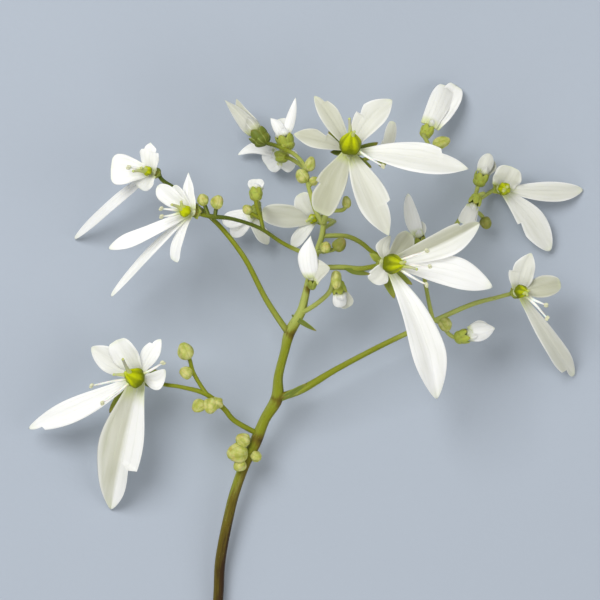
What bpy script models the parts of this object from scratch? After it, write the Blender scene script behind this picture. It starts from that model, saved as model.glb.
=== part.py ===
# Cut flowering stem of an autumn saxifrage, lying on a flat surface.
# Lengths are in millimetres until they reach a mesh, which is in metres.
# X runs across the spray, Y up the stem, and Z away from the surface that the spray lies on.
# The surface is at Z = 0, and the stem's cut end and the tips of a few petals touch it.

import math
from collections import namedtuple

import bmesh
import bpy
from mathutils import Vector

MM = 0.001
UPWARD = (0.0, 0.0, 1.0)

# Driving sizes of the plant
PETAL_THICKNESS = 0.6
PETAL_FOOT_SHARE = 0.3
STALK_RADIUS = 0.26
BRANCH_RADIUS = 0.34
FILAMENT_RADIUS = 0.2
ANTHER_RADIUS = 0.36
ANTHER_LENGTH = 0.7
NODE_GAP = 0.3
FOLDED_FOOT_SHARE = 0.75
SEPAL_DROOP = 0.45
HUB_DEPTH = 0.5
CUP_DEPTH = 1.4
STALK_INSET = 0.3
CUT_LENGTH_BELOW = 15.0
SMALLEST_PIECE = 0.01 * MM ** 3

# How steeply the stamens rise from the surface, and the lengths of the two styles
STAMEN_RISE = 0.45
STYLE_SHARES = (1.0, 0.55)

# Where the middle of the spray's outline lies in the drawing that the places below are measured in
OUTLINE_MIDDLE = Vector((0.83, -12.45, 0.0))

# The main stalk from its cut end to its top: x, y, z and radius
AXIS = [
    (-11.3, -37.5 - CUT_LENGTH_BELOW, 0.62, 0.66),
    (-10.9, -45.0, 0.9, 0.64),
    (-10.3, -37.5, 1.4, 0.64),
    (-10.0, -32.6, 1.9, 0.66),
    (-8.8, -26.5, 2.6, 0.64),
    (-8.0, -23.6, 3.0, 0.64),
    (-6.9, -20.6, 3.5, 0.66),
    (-5.6, -17.9, 4.0, 0.76),
    (-4.4, -15.0, 4.5, 0.66),
    (-2.9, -12.4, 5.0, 0.78),
    (-2.7, -9.6, 5.6, 0.58),
    (-1.9, -6.4, 6.4, 0.56),
    (-1.3, -4.1, 7.0, 0.7),
    (0.1, -1.6, 7.8, 0.6),
    (0.55, 0.0, 8.3, 0.5),
    (1.1, 2.5, 9.2, 0.42),
    (1.5, 4.2, 9.9, 0.4),
    (2.25, 6.4, 10.7, 0.38),
    (2.75, 8.0, 11.3, 0.36),
    (2.95, 9.5, 11.8, 0.36),
]

# A petal: its tip, its greatest width and where that is along it, how far its middle arches towards
# its face and to its side, how far its edges turn up, how blunt its tip is, its teeth, and how much
# of its width it has at its foot
Petal = namedtuple("Petal", "tip width widest bow sway cup blunt teeth foot stations")

# A tooth in a petal's edge: +1 right or -1 left, how far along, how deep, how long its notch is
Tooth = namedtuple("Tooth", "side along depth reach")

# An open bloom: the middle of its ovary, where it faces, the ovary's radius, its petals, its stamens
# by their angle in degrees and how far out they reach, where its ovary and styles point, how far
# its sepals stand out, the angle of the first of them, how long its longer style is and how widely
# its styles spread
Bloom = namedtuple("Bloom", "name heart facing ovary petals stamens lean sepal first_sepal style spread")

# A half-open flower: where its petals leave the green cup, where it points, the radius of the rounded
# middle that its petals fold round, and its petals
Opening = namedtuple("Opening", "name cup tip body petals")


def petal(tip, width, widest=0.55, bow=0.5, sway=0.0, cup=0.15, blunt=0.65, teeth=(),
          foot=PETAL_FOOT_SHARE, stations=7):
    return Petal(Vector(tip), width, widest, bow, sway, cup, blunt, teeth, foot, stations)


BLOOMS = [
    Bloom("top_bloom", (6.2, 19.1, 24.0), (0.05, 0.36, 0.92), 1.55, [
        petal((1.75, 25.25, 22.0), 2.5, 0.6, 0.5, 0.2, blunt=0.8, teeth=[Tooth(1, 0.82, 0.45, 0.16)],
              foot=0.25),
        petal((11.4, 24.8, 21.8), 3.6, 0.6, 0.6, -0.5, cup=0.35, blunt=0.8,
              teeth=[Tooth(-1, 0.5, 0.35, 0.16)]),
        petal((-0.8, 20.5, 22.8), 2.5, 0.62, 0.4, 0.1, blunt=0.85, teeth=[Tooth(1, 0.42, 0.4, 0.2)],
              foot=0.12),
        petal((2.6, 10.6, 21.6), 3.8, 0.62, 0.5, 0.3, cup=0.2, blunt=0.28,
              teeth=[Tooth(1, 0.56, 0.3, 0.2)], foot=0.4),
        petal((11.0, 7.9, 21.6), 4.1, 0.55, 0.8, 0.2, cup=0.2, blunt=0.95,
              teeth=[Tooth(-1, 0.64, 0.3, 0.22)], foot=0.28, stations=8),
        petal((20.9, 16.2, 21.4), 4.1, 0.6, 0.9, 0.0, cup=0.2, blunt=0.95,
              teeth=[Tooth(-1, 0.74, 0.35, 0.2)], foot=0.12, stations=8),
    ], [(-33, 4.8)], (0.08, 0.72, 0.7), 1.3, 28, 2.6, 0.2),
    Bloom("middle_bloom", (11.3, 4.5, 19.0), (0.35, 0.0, 0.93), 1.4, [
        petal((11.2, 8.0, 17.2), 1.8, 0.5, 0.3, -0.9, foot=0.5, stations=6),
        petal((13.6, 8.4, 16.8), 2.6, 0.65, 0.4, cup=0.4, blunt=0.4, stations=6),
        petal((8.8, 2.3, 17.0), 2.6, 0.55, 0.3, -0.2, blunt=0.4, teeth=[Tooth(1, 0.7, 0.25, 0.2)],
              foot=0.5),
        petal((17.1, -12.4, 12.6), 4.4, 0.64, 1.2, -0.7, cup=0.25, blunt=0.75, foot=0.16, stations=8),
        petal((24.0, 1.6, 14.6), 3.9, 0.6, 0.9, -0.7, cup=0.25, blunt=0.75, foot=0.2, stations=8),
        petal((22.4, 9.6, 15.6), 3.5, 0.64, 0.8, 0.4, cup=0.4, blunt=0.75,
              teeth=[Tooth(-1, 0.78, 0.3, 0.16)]),
    ], [(20, 4.7), (-4, 4.8), (-31, 5.1)], (0.8, -0.05, 0.6), 1.2, 288, 2.4, 0.25),
    Bloom("lower_left_bloom", (-20.55, -9.75, 9.2), (-0.25, -0.15, 0.95), 1.4, [
        petal((-23.0, -5.0, 9.3), 3.5, 0.62, 0.3, blunt=0.2, foot=0.45, stations=7),
        petal((-26.15, -5.9, 8.2), 3.3, 0.58, 0.3, -0.1, blunt=0.7, foot=0.45, stations=7),
        petal((-17.4, -4.9, 9.2), 2.3, 0.6, 0.3, -0.2, blunt=0.8,
              teeth=[Tooth(-1, 0.8, 0.4, 0.16)], stations=6),
        petal((-16.8, -8.9, 8.2), 2.4, 0.6, 0.2, 1.0, blunt=0.55, foot=0.5),
        petal((-34.2, -16.2, 3.0), 3.0, 0.6, 0.8, -0.3, blunt=0.7,
              teeth=[Tooth(-1, 0.87, 0.6, 0.13)], foot=0.22, stations=8),
        petal((-23.9, -26.5, 0.2), 5.9, 0.52, 0.9, -0.15, cup=0.55, blunt=0.85,
              teeth=[Tooth(-1, 0.6, 0.42, 0.36)], foot=0.34, stations=9),
    ], [(29, 3.9), (190, 5.6), (217, 5.2)], (-0.7, 0.35, 0.65), 1.2, 229, 3.4, 0.55),
    Bloom("left_bloom", (-14.3, 11.05, 15.0), (-0.6, 0.0, 0.8), 0.85, [
        petal((-13.9, 15.9, 14.2), 1.9, 0.35, 0.3, 0.1, blunt=0.95, foot=0.8, stations=6),
        petal((-17.8, 14.2, 14.0), 2.5, 0.7, 0.3, blunt=0.5, foot=0.4, stations=6),
        petal((-15.7, 14.3, 14.3), 1.8, 0.7, 0.2, blunt=0.4, foot=0.4, stations=5),
        petal((-23.9, 6.4, 12.4), 1.9, 0.72, 0.5, -0.3, foot=0.45),
        petal((-23.7, 0.4, 9.0), 1.25, 0.5, 0.6, 0.0, blunt=0.4, foot=0.65),
        petal((-15.7, 4.8, 12.2), 1.8, 0.85, 0.3, 0.2, blunt=0.25, foot=0.5),
    ], [(174, 3.0), (193, 3.0)], (-0.45, 0.5, 0.74), 0.4, 0, 1.9, 0.3),
    Bloom("far_left_bloom", (-19.05, 16.15, 10.6), (-0.45, 0.1, 0.88), 0.68, [
        petal((-23.7, 16.4, 10.0), 3.9, 0.84, 0.3, blunt=0.25),
        petal((-18.7, 19.7, 10.6), 2.8, 0.6, 0.3, blunt=0.95,
              teeth=[Tooth(-1, 0.78, 0.35, 0.14), Tooth(1, 0.68, 0.35, 0.14)], foot=0.5, stations=5),
        petal((-28.5, 7.7, 0.2), 1.45, 0.42, 0.8, -0.2, blunt=0.45, foot=0.6, stations=8),
        petal((-20.0, 13.9, 9.4), 2.7, 0.6, 0.2, blunt=0.4, foot=0.7, stations=5),
    ], [(170, 2.4)], (-0.6, 0.1, 0.8), 0.2, 0, 1.9, 0.2),
    Bloom("right_bloom", (27.6, 1.1, 10.2), (0.22, 0.06, 0.97), 0.95, [
        petal((28.9, 5.9, 10.6), 3.3, 0.45, 0.3, -0.4, blunt=0.75, teeth=[Tooth(-1, 0.48, 0.25, 0.22)],
              foot=0.5),
        petal((32.7, 2.1, 8.0), 2.8, 0.6, 0.5, blunt=0.4),
        petal((34.6, -9.6, 0.2), 2.7, 0.7, 1.0, 0.4, blunt=0.6, teeth=[Tooth(1, 0.86, 0.7, 0.14)],
              stations=8),
    ], [(-29, 3.6), (-46, 4.7)], (0.6, -0.1, 0.78), 0.15, 0, 1.0, 0.3),
    Bloom("far_right_bloom", (25.7, 14.0, 4.7), (0.25, -0.05, 0.95), 0.9, [
        petal((26.6, 16.8, 4.4), 3.6, 0.6, 0.2, blunt=0.25, foot=0.8, stations=6),
        petal((35.75, 13.9, 0.2), 2.6, 0.6, 0.7, 0.3, stations=8),
        petal((31.6, 6.2, 1.0), 3.5, 0.6, 0.5, -0.3, teeth=[Tooth(1, 0.45, 0.3, 0.2)], stations=8),
    ], [], (0.1, 0.0, 0.99), 0.4, 0, 0.9, 0.4),
    Bloom("back_bloom", (1.6, 10.2, 6.2), (-0.4, 0.0, 0.9), 0.7, [
        petal((-4.85, 10.9, 5.4), 3.0, 0.6, 0.4, blunt=0.35, foot=0.45),
        petal((0.0, 13.4, 6.2), 2.9, 0.6, 0.3, blunt=0.35, foot=0.6, stations=6),
        petal((-1.0, 6.7, 4.4), 1.9, 0.6, 0.4, blunt=0.45, foot=0.4, stations=6),
    ], [], (-0.3, 0.0, 0.95), 0.3, 0, 0.9, 0.4),
]

OPENINGS = [
    Opening("upper_left_opening_flower", (-5.2, 20.7, 7.2), (-8.9, 25.2, 5.2), 1.3, [
        petal((-9.5, 25.15, 5.3), 2.0, 0.2, 0.5, 0.1, cup=-0.5, blunt=1.1, stations=6),
        petal((-8.0, 25.3, 4.8), 1.9, 0.2, 0.1, -0.35, cup=0.4, blunt=0.8, stations=6)]),
    Opening("top_opening_flower", (-1.9, 20.2, 7.6), (-2.7, 22.9, 7.4), 1.2, [
        petal((-3.7, 22.8, 7.9), 1.5, 0.4, 0.3, 0.2, cup=-0.4, blunt=0.9, stations=5),
        petal((-2.4, 22.8, 6.9), 2.2, 0.6, 0.1, cup=0.3, blunt=0.4, stations=5),
        petal((-0.55, 25.4, 7.2), 1.3, 0.3, 0.2, 0.1, cup=-0.3, blunt=0.8, stations=6)]),
    Opening("back_opening_flower", (-2.4, 18.1, 4.6), (-3.9, 18.4, 1.4), 0.85, [
        petal((-7.85, 18.3, 1.0), 1.7, 0.35, 0.0, 1.0, cup=0.1, blunt=0.7, stations=7),
        petal((-4.3, 17.0, 2.0), 3.0, 0.6, 0.0, cup=0.1, blunt=0.4, stations=5),
        petal((-0.5, 17.1, 2.2), 2.9, 0.6, 0.0, cup=0.1, blunt=0.4, stations=5)]),
    Opening("back_left_opening_flower", (-6.0, 10.9, 4.6), (-8.2, 8.4, 3.0), 0.8, [
        petal((-9.8, 9.8, 3.2), 2.2, 0.6, 0.3, cup=0.1, stations=5),
        petal((-8.6, 8.0, 2.6), 2.1, 0.6, 0.3, cup=0.1, stations=5),
        petal((-4.0, 7.0, 2.2), 1.7, 0.6, 0.3, cup=0.1, stations=5)]),
    Opening("upper_right_opening_flower", (16.1, 21.5, 4.0), (19.0, 27.1, 0.8), 0.85, [
        petal((18.6, 27.05, 1.3), 2.9, 0.62, 0.4, cup=-0.25, blunt=0.22, stations=7),
        petal((19.75, 27.1, 0.8), 3.0, 0.55, 0.2, 0.2, cup=0.2, blunt=0.25, stations=6)]),
    Opening("behind_middle_opening_flower", (14.9, 7.6, 9.4), (13.5, 13.3, 9.8), 0.85, [
        petal((13.5, 13.35, 10.0), 1.9, 0.35, 0.3, -0.25, cup=-0.4, blunt=0.6, stations=6),
        petal((15.0, 9.9, 9.0), 1.8, 0.5, 0.1, blunt=0.5, stations=5)]),
    Opening("behind_top_opening_flower", (10.4, 17.6, 13.4), (11.5, 22.3, 14.8), 0.55, [
        petal((11.55, 22.3, 14.9), 1.5, 0.6, 0.3, 0.1, cup=-0.35, blunt=0.35, stations=5),
        petal((10.9, 20.4, 13.8), 1.3, 0.5, 0.1, cup=0.2, blunt=0.5, stations=4)]),
    Opening("far_right_opening_flower", (22.9, 15.6, 3.4), (24.1, 18.5, 3.2), 0.95, [
        petal((23.9, 18.45, 3.4), 2.0, 0.4, 0.3, cup=-0.45, blunt=0.45, stations=6),
        petal((24.4, 17.6, 2.6), 1.9, 0.5, 0.1, cup=0.3, blunt=0.6, stations=5)]),
    Opening("far_right_white_bud", (21.9, 12.2, 5.4), (20.7, 9.5, 6.4), 0.8, [
        petal((20.6, 9.5, 6.7), 2.1, 0.75, 0.2, cup=-0.4, blunt=0.35, stations=5),
        petal((21.1, 9.6, 5.9), 1.8, 0.75, 0.1, cup=0.3, blunt=0.4, stations=5)]),
    Opening("right_white_bud", (20.7, -4.5, 8.2), (24.4, -3.7, 8.0), 0.95, [
        petal((24.45, -3.55, 8.1), 2.5, 0.35, 0.4, cup=-0.5, blunt=0.8, stations=6),
        petal((23.7, -3.2, 7.6), 2.3, 0.5, 0.1, cup=0.3, blunt=0.6, stations=5)]),
    Opening("front_opening_flower", (1.5, 2.35, 13.4), (1.4, 4.9, 14.0), 0.6, [
        petal((1.35, 8.05, 15.2), 2.5, 0.45, 0.5, -0.5, cup=-0.35, blunt=1.15, stations=7),
        petal((3.7, 4.1, 14.2), 2.9, 0.42, 0.2, -0.75, cup=-0.1, blunt=0.7, stations=6)]),
    Opening("left_opening_flower", (-5.5, 13.5, 13.4), (-5.5, 15.0, 12.2), 0.85, [
        petal((-5.5, 15.1, 12.2), 2.1, 0.55, 0.0, cup=0.1, blunt=0.35, stations=5),
        petal((-4.8, 14.4, 12.0), 1.2, 0.5, 0.0, cup=0.1, blunt=0.5, stations=4)]),
    Opening("hanging_opening_flower", (4.9, 1.2, 11.1), (5.5, -1.1, 10.2), 0.95, [
        petal((5.1, -0.95, 10.4), 1.8, 0.55, 0.2, cup=-0.4, blunt=0.3, stations=5),
        petal((6.1, -0.9, 9.6), 2.0, 0.55, 0.0, cup=0.2, blunt=0.35, stations=5)]),
]

# The longer sepals, which show between the petals of a bloom: tip and width
LONG_SEPALS = [
    ("top_bloom", (3.5, 20.9, 20.9), 1.3),
    ("top_bloom", (9.7, 19.5, 21.0), 1.2),
    ("top_bloom", (8.9, 16.4, 20.6), 1.1),
    ("middle_bloom", (11.75, 0.15, 15.0), 1.3),
    ("middle_bloom", (14.0, 1.9, 15.6), 1.2),
    ("lower_left_bloom", (-24.0, -14.2, 4.6), 2.0),
]

# Closed buds: middle, direction of the tip, radius and length
BUDS = [
    ((-7.9, -19.2, 5.0), (-0.9, -0.2, 0.4), 1.35, 2.7),
    ((-7.2, -17.6, 5.4), (-0.7, 0.6, 0.4), 0.95, 1.9),
    ((-7.6, -20.8, 4.6), (-0.7, -0.7, 0.3), 0.85, 1.7),
    ((-5.5, -19.7, 4.3), (0.6, -0.4, 0.6), 0.75, 1.5),
    ((-10.4, -12.9, 7.4), (-0.2, 0.2, 1.0), 0.8, 1.6),
    ((-11.2, -13.3, 7.6), (-0.2, -0.8, 0.6), 1.0, 2.1),
    ((-12.7, -13.3, 7.3), (-0.7, -0.6, 0.3), 0.9, 1.9),
    ((-14.35, -6.4, 9.2), (-0.4, 0.9, 0.2), 1.05, 2.3),
    ((-14.3, -9.1, 8.3), (-0.8, 0.4, 0.3), 0.85, 1.7),
    ((-10.3, 12.2, 14.6), (0.3, 0.9, 0.3), 0.85, 1.8),
    ((-12.1, 12.5, 14.2), (-0.3, 0.8, 0.5), 0.75, 1.6),
    ((18.2, -3.1, 8.4), (0.4, -0.7, 0.5), 0.9, 1.9),
    ((-6.6, 11.3, 13.2), (-0.5, 0.6, 0.4), 0.65, 1.3),
    ((1.3, 17.0, 11.6), (0.2, 1.0, 0.0), 0.7, 1.9),
    ((0.3, 15.5, 11.4), (-0.5, 0.8, 0.1), 0.9, 1.9),
    ((1.75, 14.9, 11.8), (0.8, 0.5, 0.3), 0.6, 1.2),
    ((3.2, 6.6, 13.2), (0.1, 0.7, 0.6), 0.75, 1.5),
    ((4.95, 6.9, 12.8), (0.5, 0.8, 0.1), 0.9, 1.9),
    ((4.5, 2.5, 12.7), (0.0, -0.9, 0.4), 0.75, 2.5),
    ((17.7, 19.75, 9.0), (0.9, 0.3, 0.0), 0.85, 2.3),
    ((23.4, 9.7, 3.0), (0.4, -0.9, 0.0), 0.8, 1.6),
    ((5.8, 12.2, 13.0), (-0.1, 0.9, 0.2), 0.6, 1.6),
]


def collection(name):
    made = bpy.data.collections.new(name)
    bpy.context.scene.collection.children.link(made)
    return made


def clear_scene():
    for obj in list(bpy.data.objects):
        bpy.data.objects.remove(obj, do_unlink=True)


def finish_material(name, colour, roughness):
    made = bpy.data.materials.new(name)
    made.use_nodes = True
    shader = made.node_tree.nodes["Principled BSDF"]
    shader.inputs["Base Color"].default_value = (*colour, 1.0)
    shader.inputs["Roughness"].default_value = roughness
    shader.inputs["Metallic"].default_value = 0.0
    return made


def smooth_route(route, steps):
    """Points on a smooth curve through the route, each with the radius there."""
    ends = [route[0], *route, route[-1]]
    points = []
    for before, start, end, after in zip(ends, ends[1:], ends[2:], ends[3:]):
        for step in range(steps):
            t = step / steps
            points.append(tuple(
                0.5 * (2 * b + (c - a) * t + (2 * a - 5 * b + 4 * c - d) * t * t
                       + (3 * b - a - 3 * c + d) * t ** 3)
                for a, b, c, d in zip(before, start, end, after)))
    points.append(tuple(route[-1]))
    return points


def mesh_of(obj):
    """The evaluated mesh of an object, which is then removed."""
    graph = bpy.context.evaluated_depsgraph_get()
    mesh = bpy.data.meshes.new_from_object(obj.evaluated_get(graph))
    bpy.data.objects.remove(obj, do_unlink=True)
    return mesh


def piece(mesh):
    """A closed piece that waits to be fused into its node."""
    work = bmesh.new()
    work.from_mesh(mesh)
    bmesh.ops.remove_doubles(work, verts=work.verts, dist=0.002 * MM)
    bmesh.ops.recalc_face_normals(work, faces=work.faces)
    work.to_mesh(mesh)
    work.free()
    obj = bpy.data.objects.new("piece", mesh)
    joining.objects.link(obj)
    return obj


def stalk(route, sides=6, steps=2):
    """A stalk along a smooth route of x, y, z and radius."""
    curve = bpy.data.curves.new("stalk", "CURVE")
    curve.dimensions = "3D"
    curve.bevel_depth = MM
    curve.bevel_resolution = sides // 2 - 2
    curve.use_fill_caps = True
    points = smooth_route(route, steps)
    spline = curve.splines.new("POLY")
    spline.points.add(len(points) - 1)
    for spot, (x, y, z, radius) in zip(spline.points, points):
        spot.co = (x * MM, y * MM, z * MM, 1.0)
        spot.radius = radius
    obj = bpy.data.objects.new("stalk", curve)
    joining.objects.link(obj)
    return piece(mesh_of(obj))


def frame_of(axis):
    """Three directions at right angles, the last along the axis."""
    axis = Vector(axis).normalized()
    across = axis.orthogonal().normalized()
    return across, axis.cross(across), axis


def turned(middle, axis, radius_at, z_low, z_high, sides, rings, droop=0.0, turn=0.0):
    """A closed round form along an axis, whose radius is a function of height and angle.
    It may be turned about its axis. Past a radius of 1 mm it droops."""
    across, up, along = frame_of(axis)
    work = bmesh.new()
    bmesh.ops.create_uvsphere(work, u_segments=sides, v_segments=rings, radius=1.0)
    for vert in work.verts:
        angle = math.atan2(vert.co.y, vert.co.x)
        share = (vert.co.z + 1.0) / 2.0
        flat = math.hypot(vert.co.x, vert.co.y)
        radius = flat * radius_at(share, angle)
        height = z_low + (z_high - z_low) * share - droop * max(0.0, radius - 1.0)
        out = across * math.cos(angle + turn) + up * math.sin(angle + turn)
        spot = Vector(middle) + out * radius + along * height
        vert.co = spot * MM
    mesh = bpy.data.meshes.new("turned")
    work.to_mesh(mesh)
    work.free()
    return piece(mesh)


def bud(middle, axis, radius, length, sides=10, rings=4):
    """A closed bud: an egg with five shallow lobes, which are its folded sepals."""
    def radius_at(share, angle):
        return radius * (1.0 + 0.05 * math.cos(5 * angle)) * (1.08 - 0.3 * share)
    return turned(middle, axis, radius_at, -length / 2, length / 2, sides, rings)


def cone(low, high, low_radius, high_radius, sides=8):
    """A short round piece between two points."""
    low = Vector(low)
    axis = Vector(high) - low
    across, up, along = frame_of(axis)
    work = bmesh.new()
    bmesh.ops.create_cone(work, cap_ends=True, segments=sides, radius1=low_radius, radius2=high_radius,
                          depth=axis.length)
    for vert in work.verts:
        height = vert.co.z + axis.length / 2
        vert.co = (low + across * vert.co.x + up * vert.co.y + along * height) * MM
    mesh = bpy.data.meshes.new("cone")
    work.to_mesh(mesh)
    work.free()
    return piece(mesh)


def outline(shape, along):
    """Half the width of a blade at a place along it, as a share of its greatest half width."""
    if along < shape.widest:
        grown = math.sin(math.pi / 2 * along / shape.widest) ** 1.3
        return shape.foot + (1.0 - shape.foot) * grown
    left = max(0.0, math.cos(math.pi / 2 * (along - shape.widest) / (1.0 - shape.widest)))
    return left ** shape.blunt


def notch(shape, along, side):
    """What a blade's teeth leave of its width on one side."""
    left = 1.0
    for tooth in shape.teeth:
        past = along - tooth.along
        if tooth.side == side and 0.0 < past < tooth.reach:
            left *= 1.0 - tooth.depth * (1.0 - past / tooth.reach)
    return left


def stations_of(shape):
    """Places along a blade, closer together near its tip, with two more at each tooth."""
    places = [step / (shape.stations - 1) for step in range(shape.stations)]
    places = [s * (1.25 - 0.25 * s) for s in places]
    step = 0.03
    for tooth in shape.teeth:
        places = [s for s in places if abs(s - tooth.along) > step]
        places += [tooth.along, tooth.along + step]
    return sorted(places)


def blade(base, shape, facing, thickness=PETAL_THICKNESS):
    """A petal or a sepal: an open sheet of triangles, thickened alike to both sides."""
    base = Vector(base)
    chord = shape.tip - base
    along = chord.normalized()
    face = Vector(facing) - along * Vector(facing).dot(along)
    face.normalize()
    side = along.cross(face)
    verts = []
    places = stations_of(shape)
    for share in places:
        arch = 4.0 * share * (1.0 - share)
        middle = base + chord * share + (face * shape.bow + side * shape.sway) * arch
        if share == 1.0:
            verts.append(middle)
            continue
        half = shape.width / 2 * outline(shape, share)
        for way in (-1, 0, 1):
            reach = half * notch(shape, share, way)
            lift = shape.cup * reach * abs(way)
            verts.append(middle + side * way * reach + face * lift)
    lowest = 0.4 * thickness
    for vert in verts:
        vert.z = max(vert.z, lowest)
    faces = []
    rows = len(places) - 1
    for row in range(rows - 1):
        a = row * 3
        b = a + 3
        faces += [(a, a + 1, b), (a + 1, b + 1, b)]
        faces += [(a + 1, a + 2, b + 2), (a + 1, b + 2, b + 1)]
    a = (rows - 1) * 3
    faces += [(a, a + 1, a + 3), (a + 1, a + 2, a + 3)]
    mesh = bpy.data.meshes.new("blade")
    mesh.from_pydata([vert * MM for vert in verts], [], faces)
    obj = bpy.data.objects.new("blade", mesh)
    joining.objects.link(obj)
    thick = obj.modifiers.new("thickness", "SOLIDIFY")
    thick.thickness = thickness * MM
    thick.offset = 0.0
    return piece(mesh_of(obj))


def islands(work):
    """The separate bodies in a mesh, as lists of faces."""
    left = set(work.faces)
    found = []
    while left:
        front = [left.pop()]
        body = []
        while front:
            face = front.pop()
            body.append(face)
            for edge in face.edges:
                for other in edge.link_faces:
                    if other in left:
                        left.discard(other)
                        front.append(other)
        found.append(body)
    return found


def volume_of(body):
    """The signed volume inside a closed body of triangles."""
    total = 0.0
    for face in body:
        a, b, c = (vert.co for vert in face.verts)
        total += a.dot(b.cross(c)) / 6.0
    return total


def fuse(name, pieces, material):
    """One body out of pieces that overlap. A hollow that they seal is filled, and a scrap is dropped."""
    first = pieces[0]
    joining.objects.unlink(first)
    part.objects.link(first)
    union = first.modifiers.new("union", "BOOLEAN")
    union.operation = "UNION"
    union.operand_type = "COLLECTION"
    union.collection = joining
    mesh = mesh_of(first)
    for obj in list(joining.objects):
        bpy.data.objects.remove(obj, do_unlink=True)
    work = bmesh.new()
    work.from_mesh(mesh)
    bmesh.ops.remove_doubles(work, verts=work.verts, dist=0.001 * MM)
    bmesh.ops.dissolve_degenerate(work, edges=work.edges, dist=0.001 * MM)
    bmesh.ops.triangulate(work, faces=work.faces)
    bodies = sorted(islands(work), key=volume_of, reverse=True)
    for body in bodies[1:]:
        if volume_of(body) > SMALLEST_PIECE:
            x, y, z = body[0].verts[0].co / MM
            raise RuntimeError(f"{name}: a piece of it stands loose at {x:.1f}, {y:.1f}, {z:.1f} mm")
        bmesh.ops.delete(work, geom=body, context="FACES")
    for vert in work.verts:
        vert.co -= OUTLINE_MIDDLE * MM
        vert.co.z = max(vert.co.z, 0.0)
    work.to_mesh(mesh)
    work.free()
    mesh.name = name
    mesh.materials.clear()
    mesh.materials.append(material)
    mesh.shade_smooth()
    mesh.set_sharp_from_angle(angle=math.radians(40))
    obj = bpy.data.objects.new(name, mesh)
    part.objects.link(obj)
    return obj


def dome_depth(bloom):
    """How far a bloom's ovary reaches below its middle."""
    return 0.88 * bloom.ovary


def hub_radius(bloom):
    return 0.5 * bloom.ovary + 0.2


def hub_middle(bloom):
    """Where a bloom's petals meet, below its ovary."""
    depth = dome_depth(bloom) + NODE_GAP + HUB_DEPTH / 2
    return Vector(bloom.heart) - Vector(bloom.facing).normalized() * depth


def cup_top(bloom):
    """The top of the green cup that carries a bloom's petals."""
    depth = HUB_DEPTH / 2 + NODE_GAP
    return hub_middle(bloom) - Vector(bloom.facing).normalized() * depth


def cup_foot(bloom):
    """Where a bloom's stalk ends, inside its cup."""
    return cup_top(bloom) - Vector(bloom.facing).normalized() * (CUP_DEPTH - STALK_INSET)


def petals_of(bloom):
    """A bloom's petals, rooted in the hub that holds them together."""
    facing = Vector(bloom.facing).normalized()
    hub = hub_middle(bloom)
    radius = hub_radius(bloom)
    half = facing * HUB_DEPTH / 2
    pieces = [cone(hub - half, hub + half, radius * 0.85, radius, 10)]
    for shape in bloom.petals:
        outward = shape.tip - hub
        outward -= facing * outward.dot(facing)
        base = hub + outward.normalized() * radius * 0.35
        pieces.append(blade(base, shape, facing))
    return pieces


def heart_of(bloom):
    """A bloom's ovary with its two styles, and its stamens, rooted in the ovary's foot."""
    aside, _, upward = frame_of(bloom.lean)
    heart = Vector(bloom.heart)

    def radius_at(share, angle):
        return bloom.ovary * (1.0 + 0.05 * math.cos(5 * angle)) * (1.26 - 0.95 * share)

    pieces = [turned(heart, bloom.lean, radius_at, -0.65 * bloom.ovary, 1.5 * bloom.ovary, 10, 5)]
    for way, share in zip((-1, 1), STYLE_SHARES):
        root = heart + upward * 0.85 * bloom.ovary + aside * way * bloom.ovary * 0.15
        tip = root + (aside * way * bloom.spread + upward).normalized() * bloom.style * share
        pieces.append(stalk([(*root, 0.28), (*tip, 0.17)], 4, 1))
    for angle, reach in bloom.stamens:
        out = Vector((math.cos(math.radians(angle)), math.sin(math.radians(angle)), 0.0))
        root = heart + out * bloom.ovary * 0.5
        path = out * (reach - bloom.ovary * 0.5)
        path.z = path.length * STAMEN_RISE
        pieces.append(stamen(root, path.normalized(), path.length))
    return pieces


def stamen(root, lean, length):
    """A filament that ends in the pollen sac of its anther."""
    neck = root + lean * (length - ANTHER_LENGTH / 2)
    middle = root + lean * length
    end = root + lean * (length + ANTHER_LENGTH / 2)
    return stalk([(*root, FILAMENT_RADIUS), (*neck, FILAMENT_RADIUS), (*middle, ANTHER_RADIUS),
                  (*end, FILAMENT_RADIUS)], 4, 1)


def sepal_root(bloom):
    """Where a longer sepal starts, inside the cup."""
    return cup_top(bloom) - Vector(bloom.facing).normalized() * CUP_DEPTH / 2


def sepal_turn(bloom):
    """The angle of a bloom's first sepal about the axis of its cup."""
    across, up, _ = frame_of(bloom.facing)
    turn = math.radians(bloom.first_sepal)
    first = Vector((math.cos(turn), math.sin(turn), 0.0))
    return math.atan2(first.dot(up), first.dot(across))


def cup_of(bloom):
    """The green cup below a bloom, flaring into five pointed sepals that bend back."""
    facing = Vector(bloom.facing).normalized()
    foot = cup_top(bloom) - facing * CUP_DEPTH
    radius = hub_radius(bloom) + 0.05
    reach = radius + bloom.sepal

    def radius_at(share, angle):
        star = 0.5 + 0.5 * math.cos(5 * angle)
        flare = max(0.0, share - 0.5) / 0.354
        return 0.38 + (radius - 0.03) * share + (reach - radius) * star * flare

    return [turned(foot, facing, radius_at, 0.0, CUP_DEPTH, 10, 4, SEPAL_DROOP, sepal_turn(bloom))]


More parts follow.
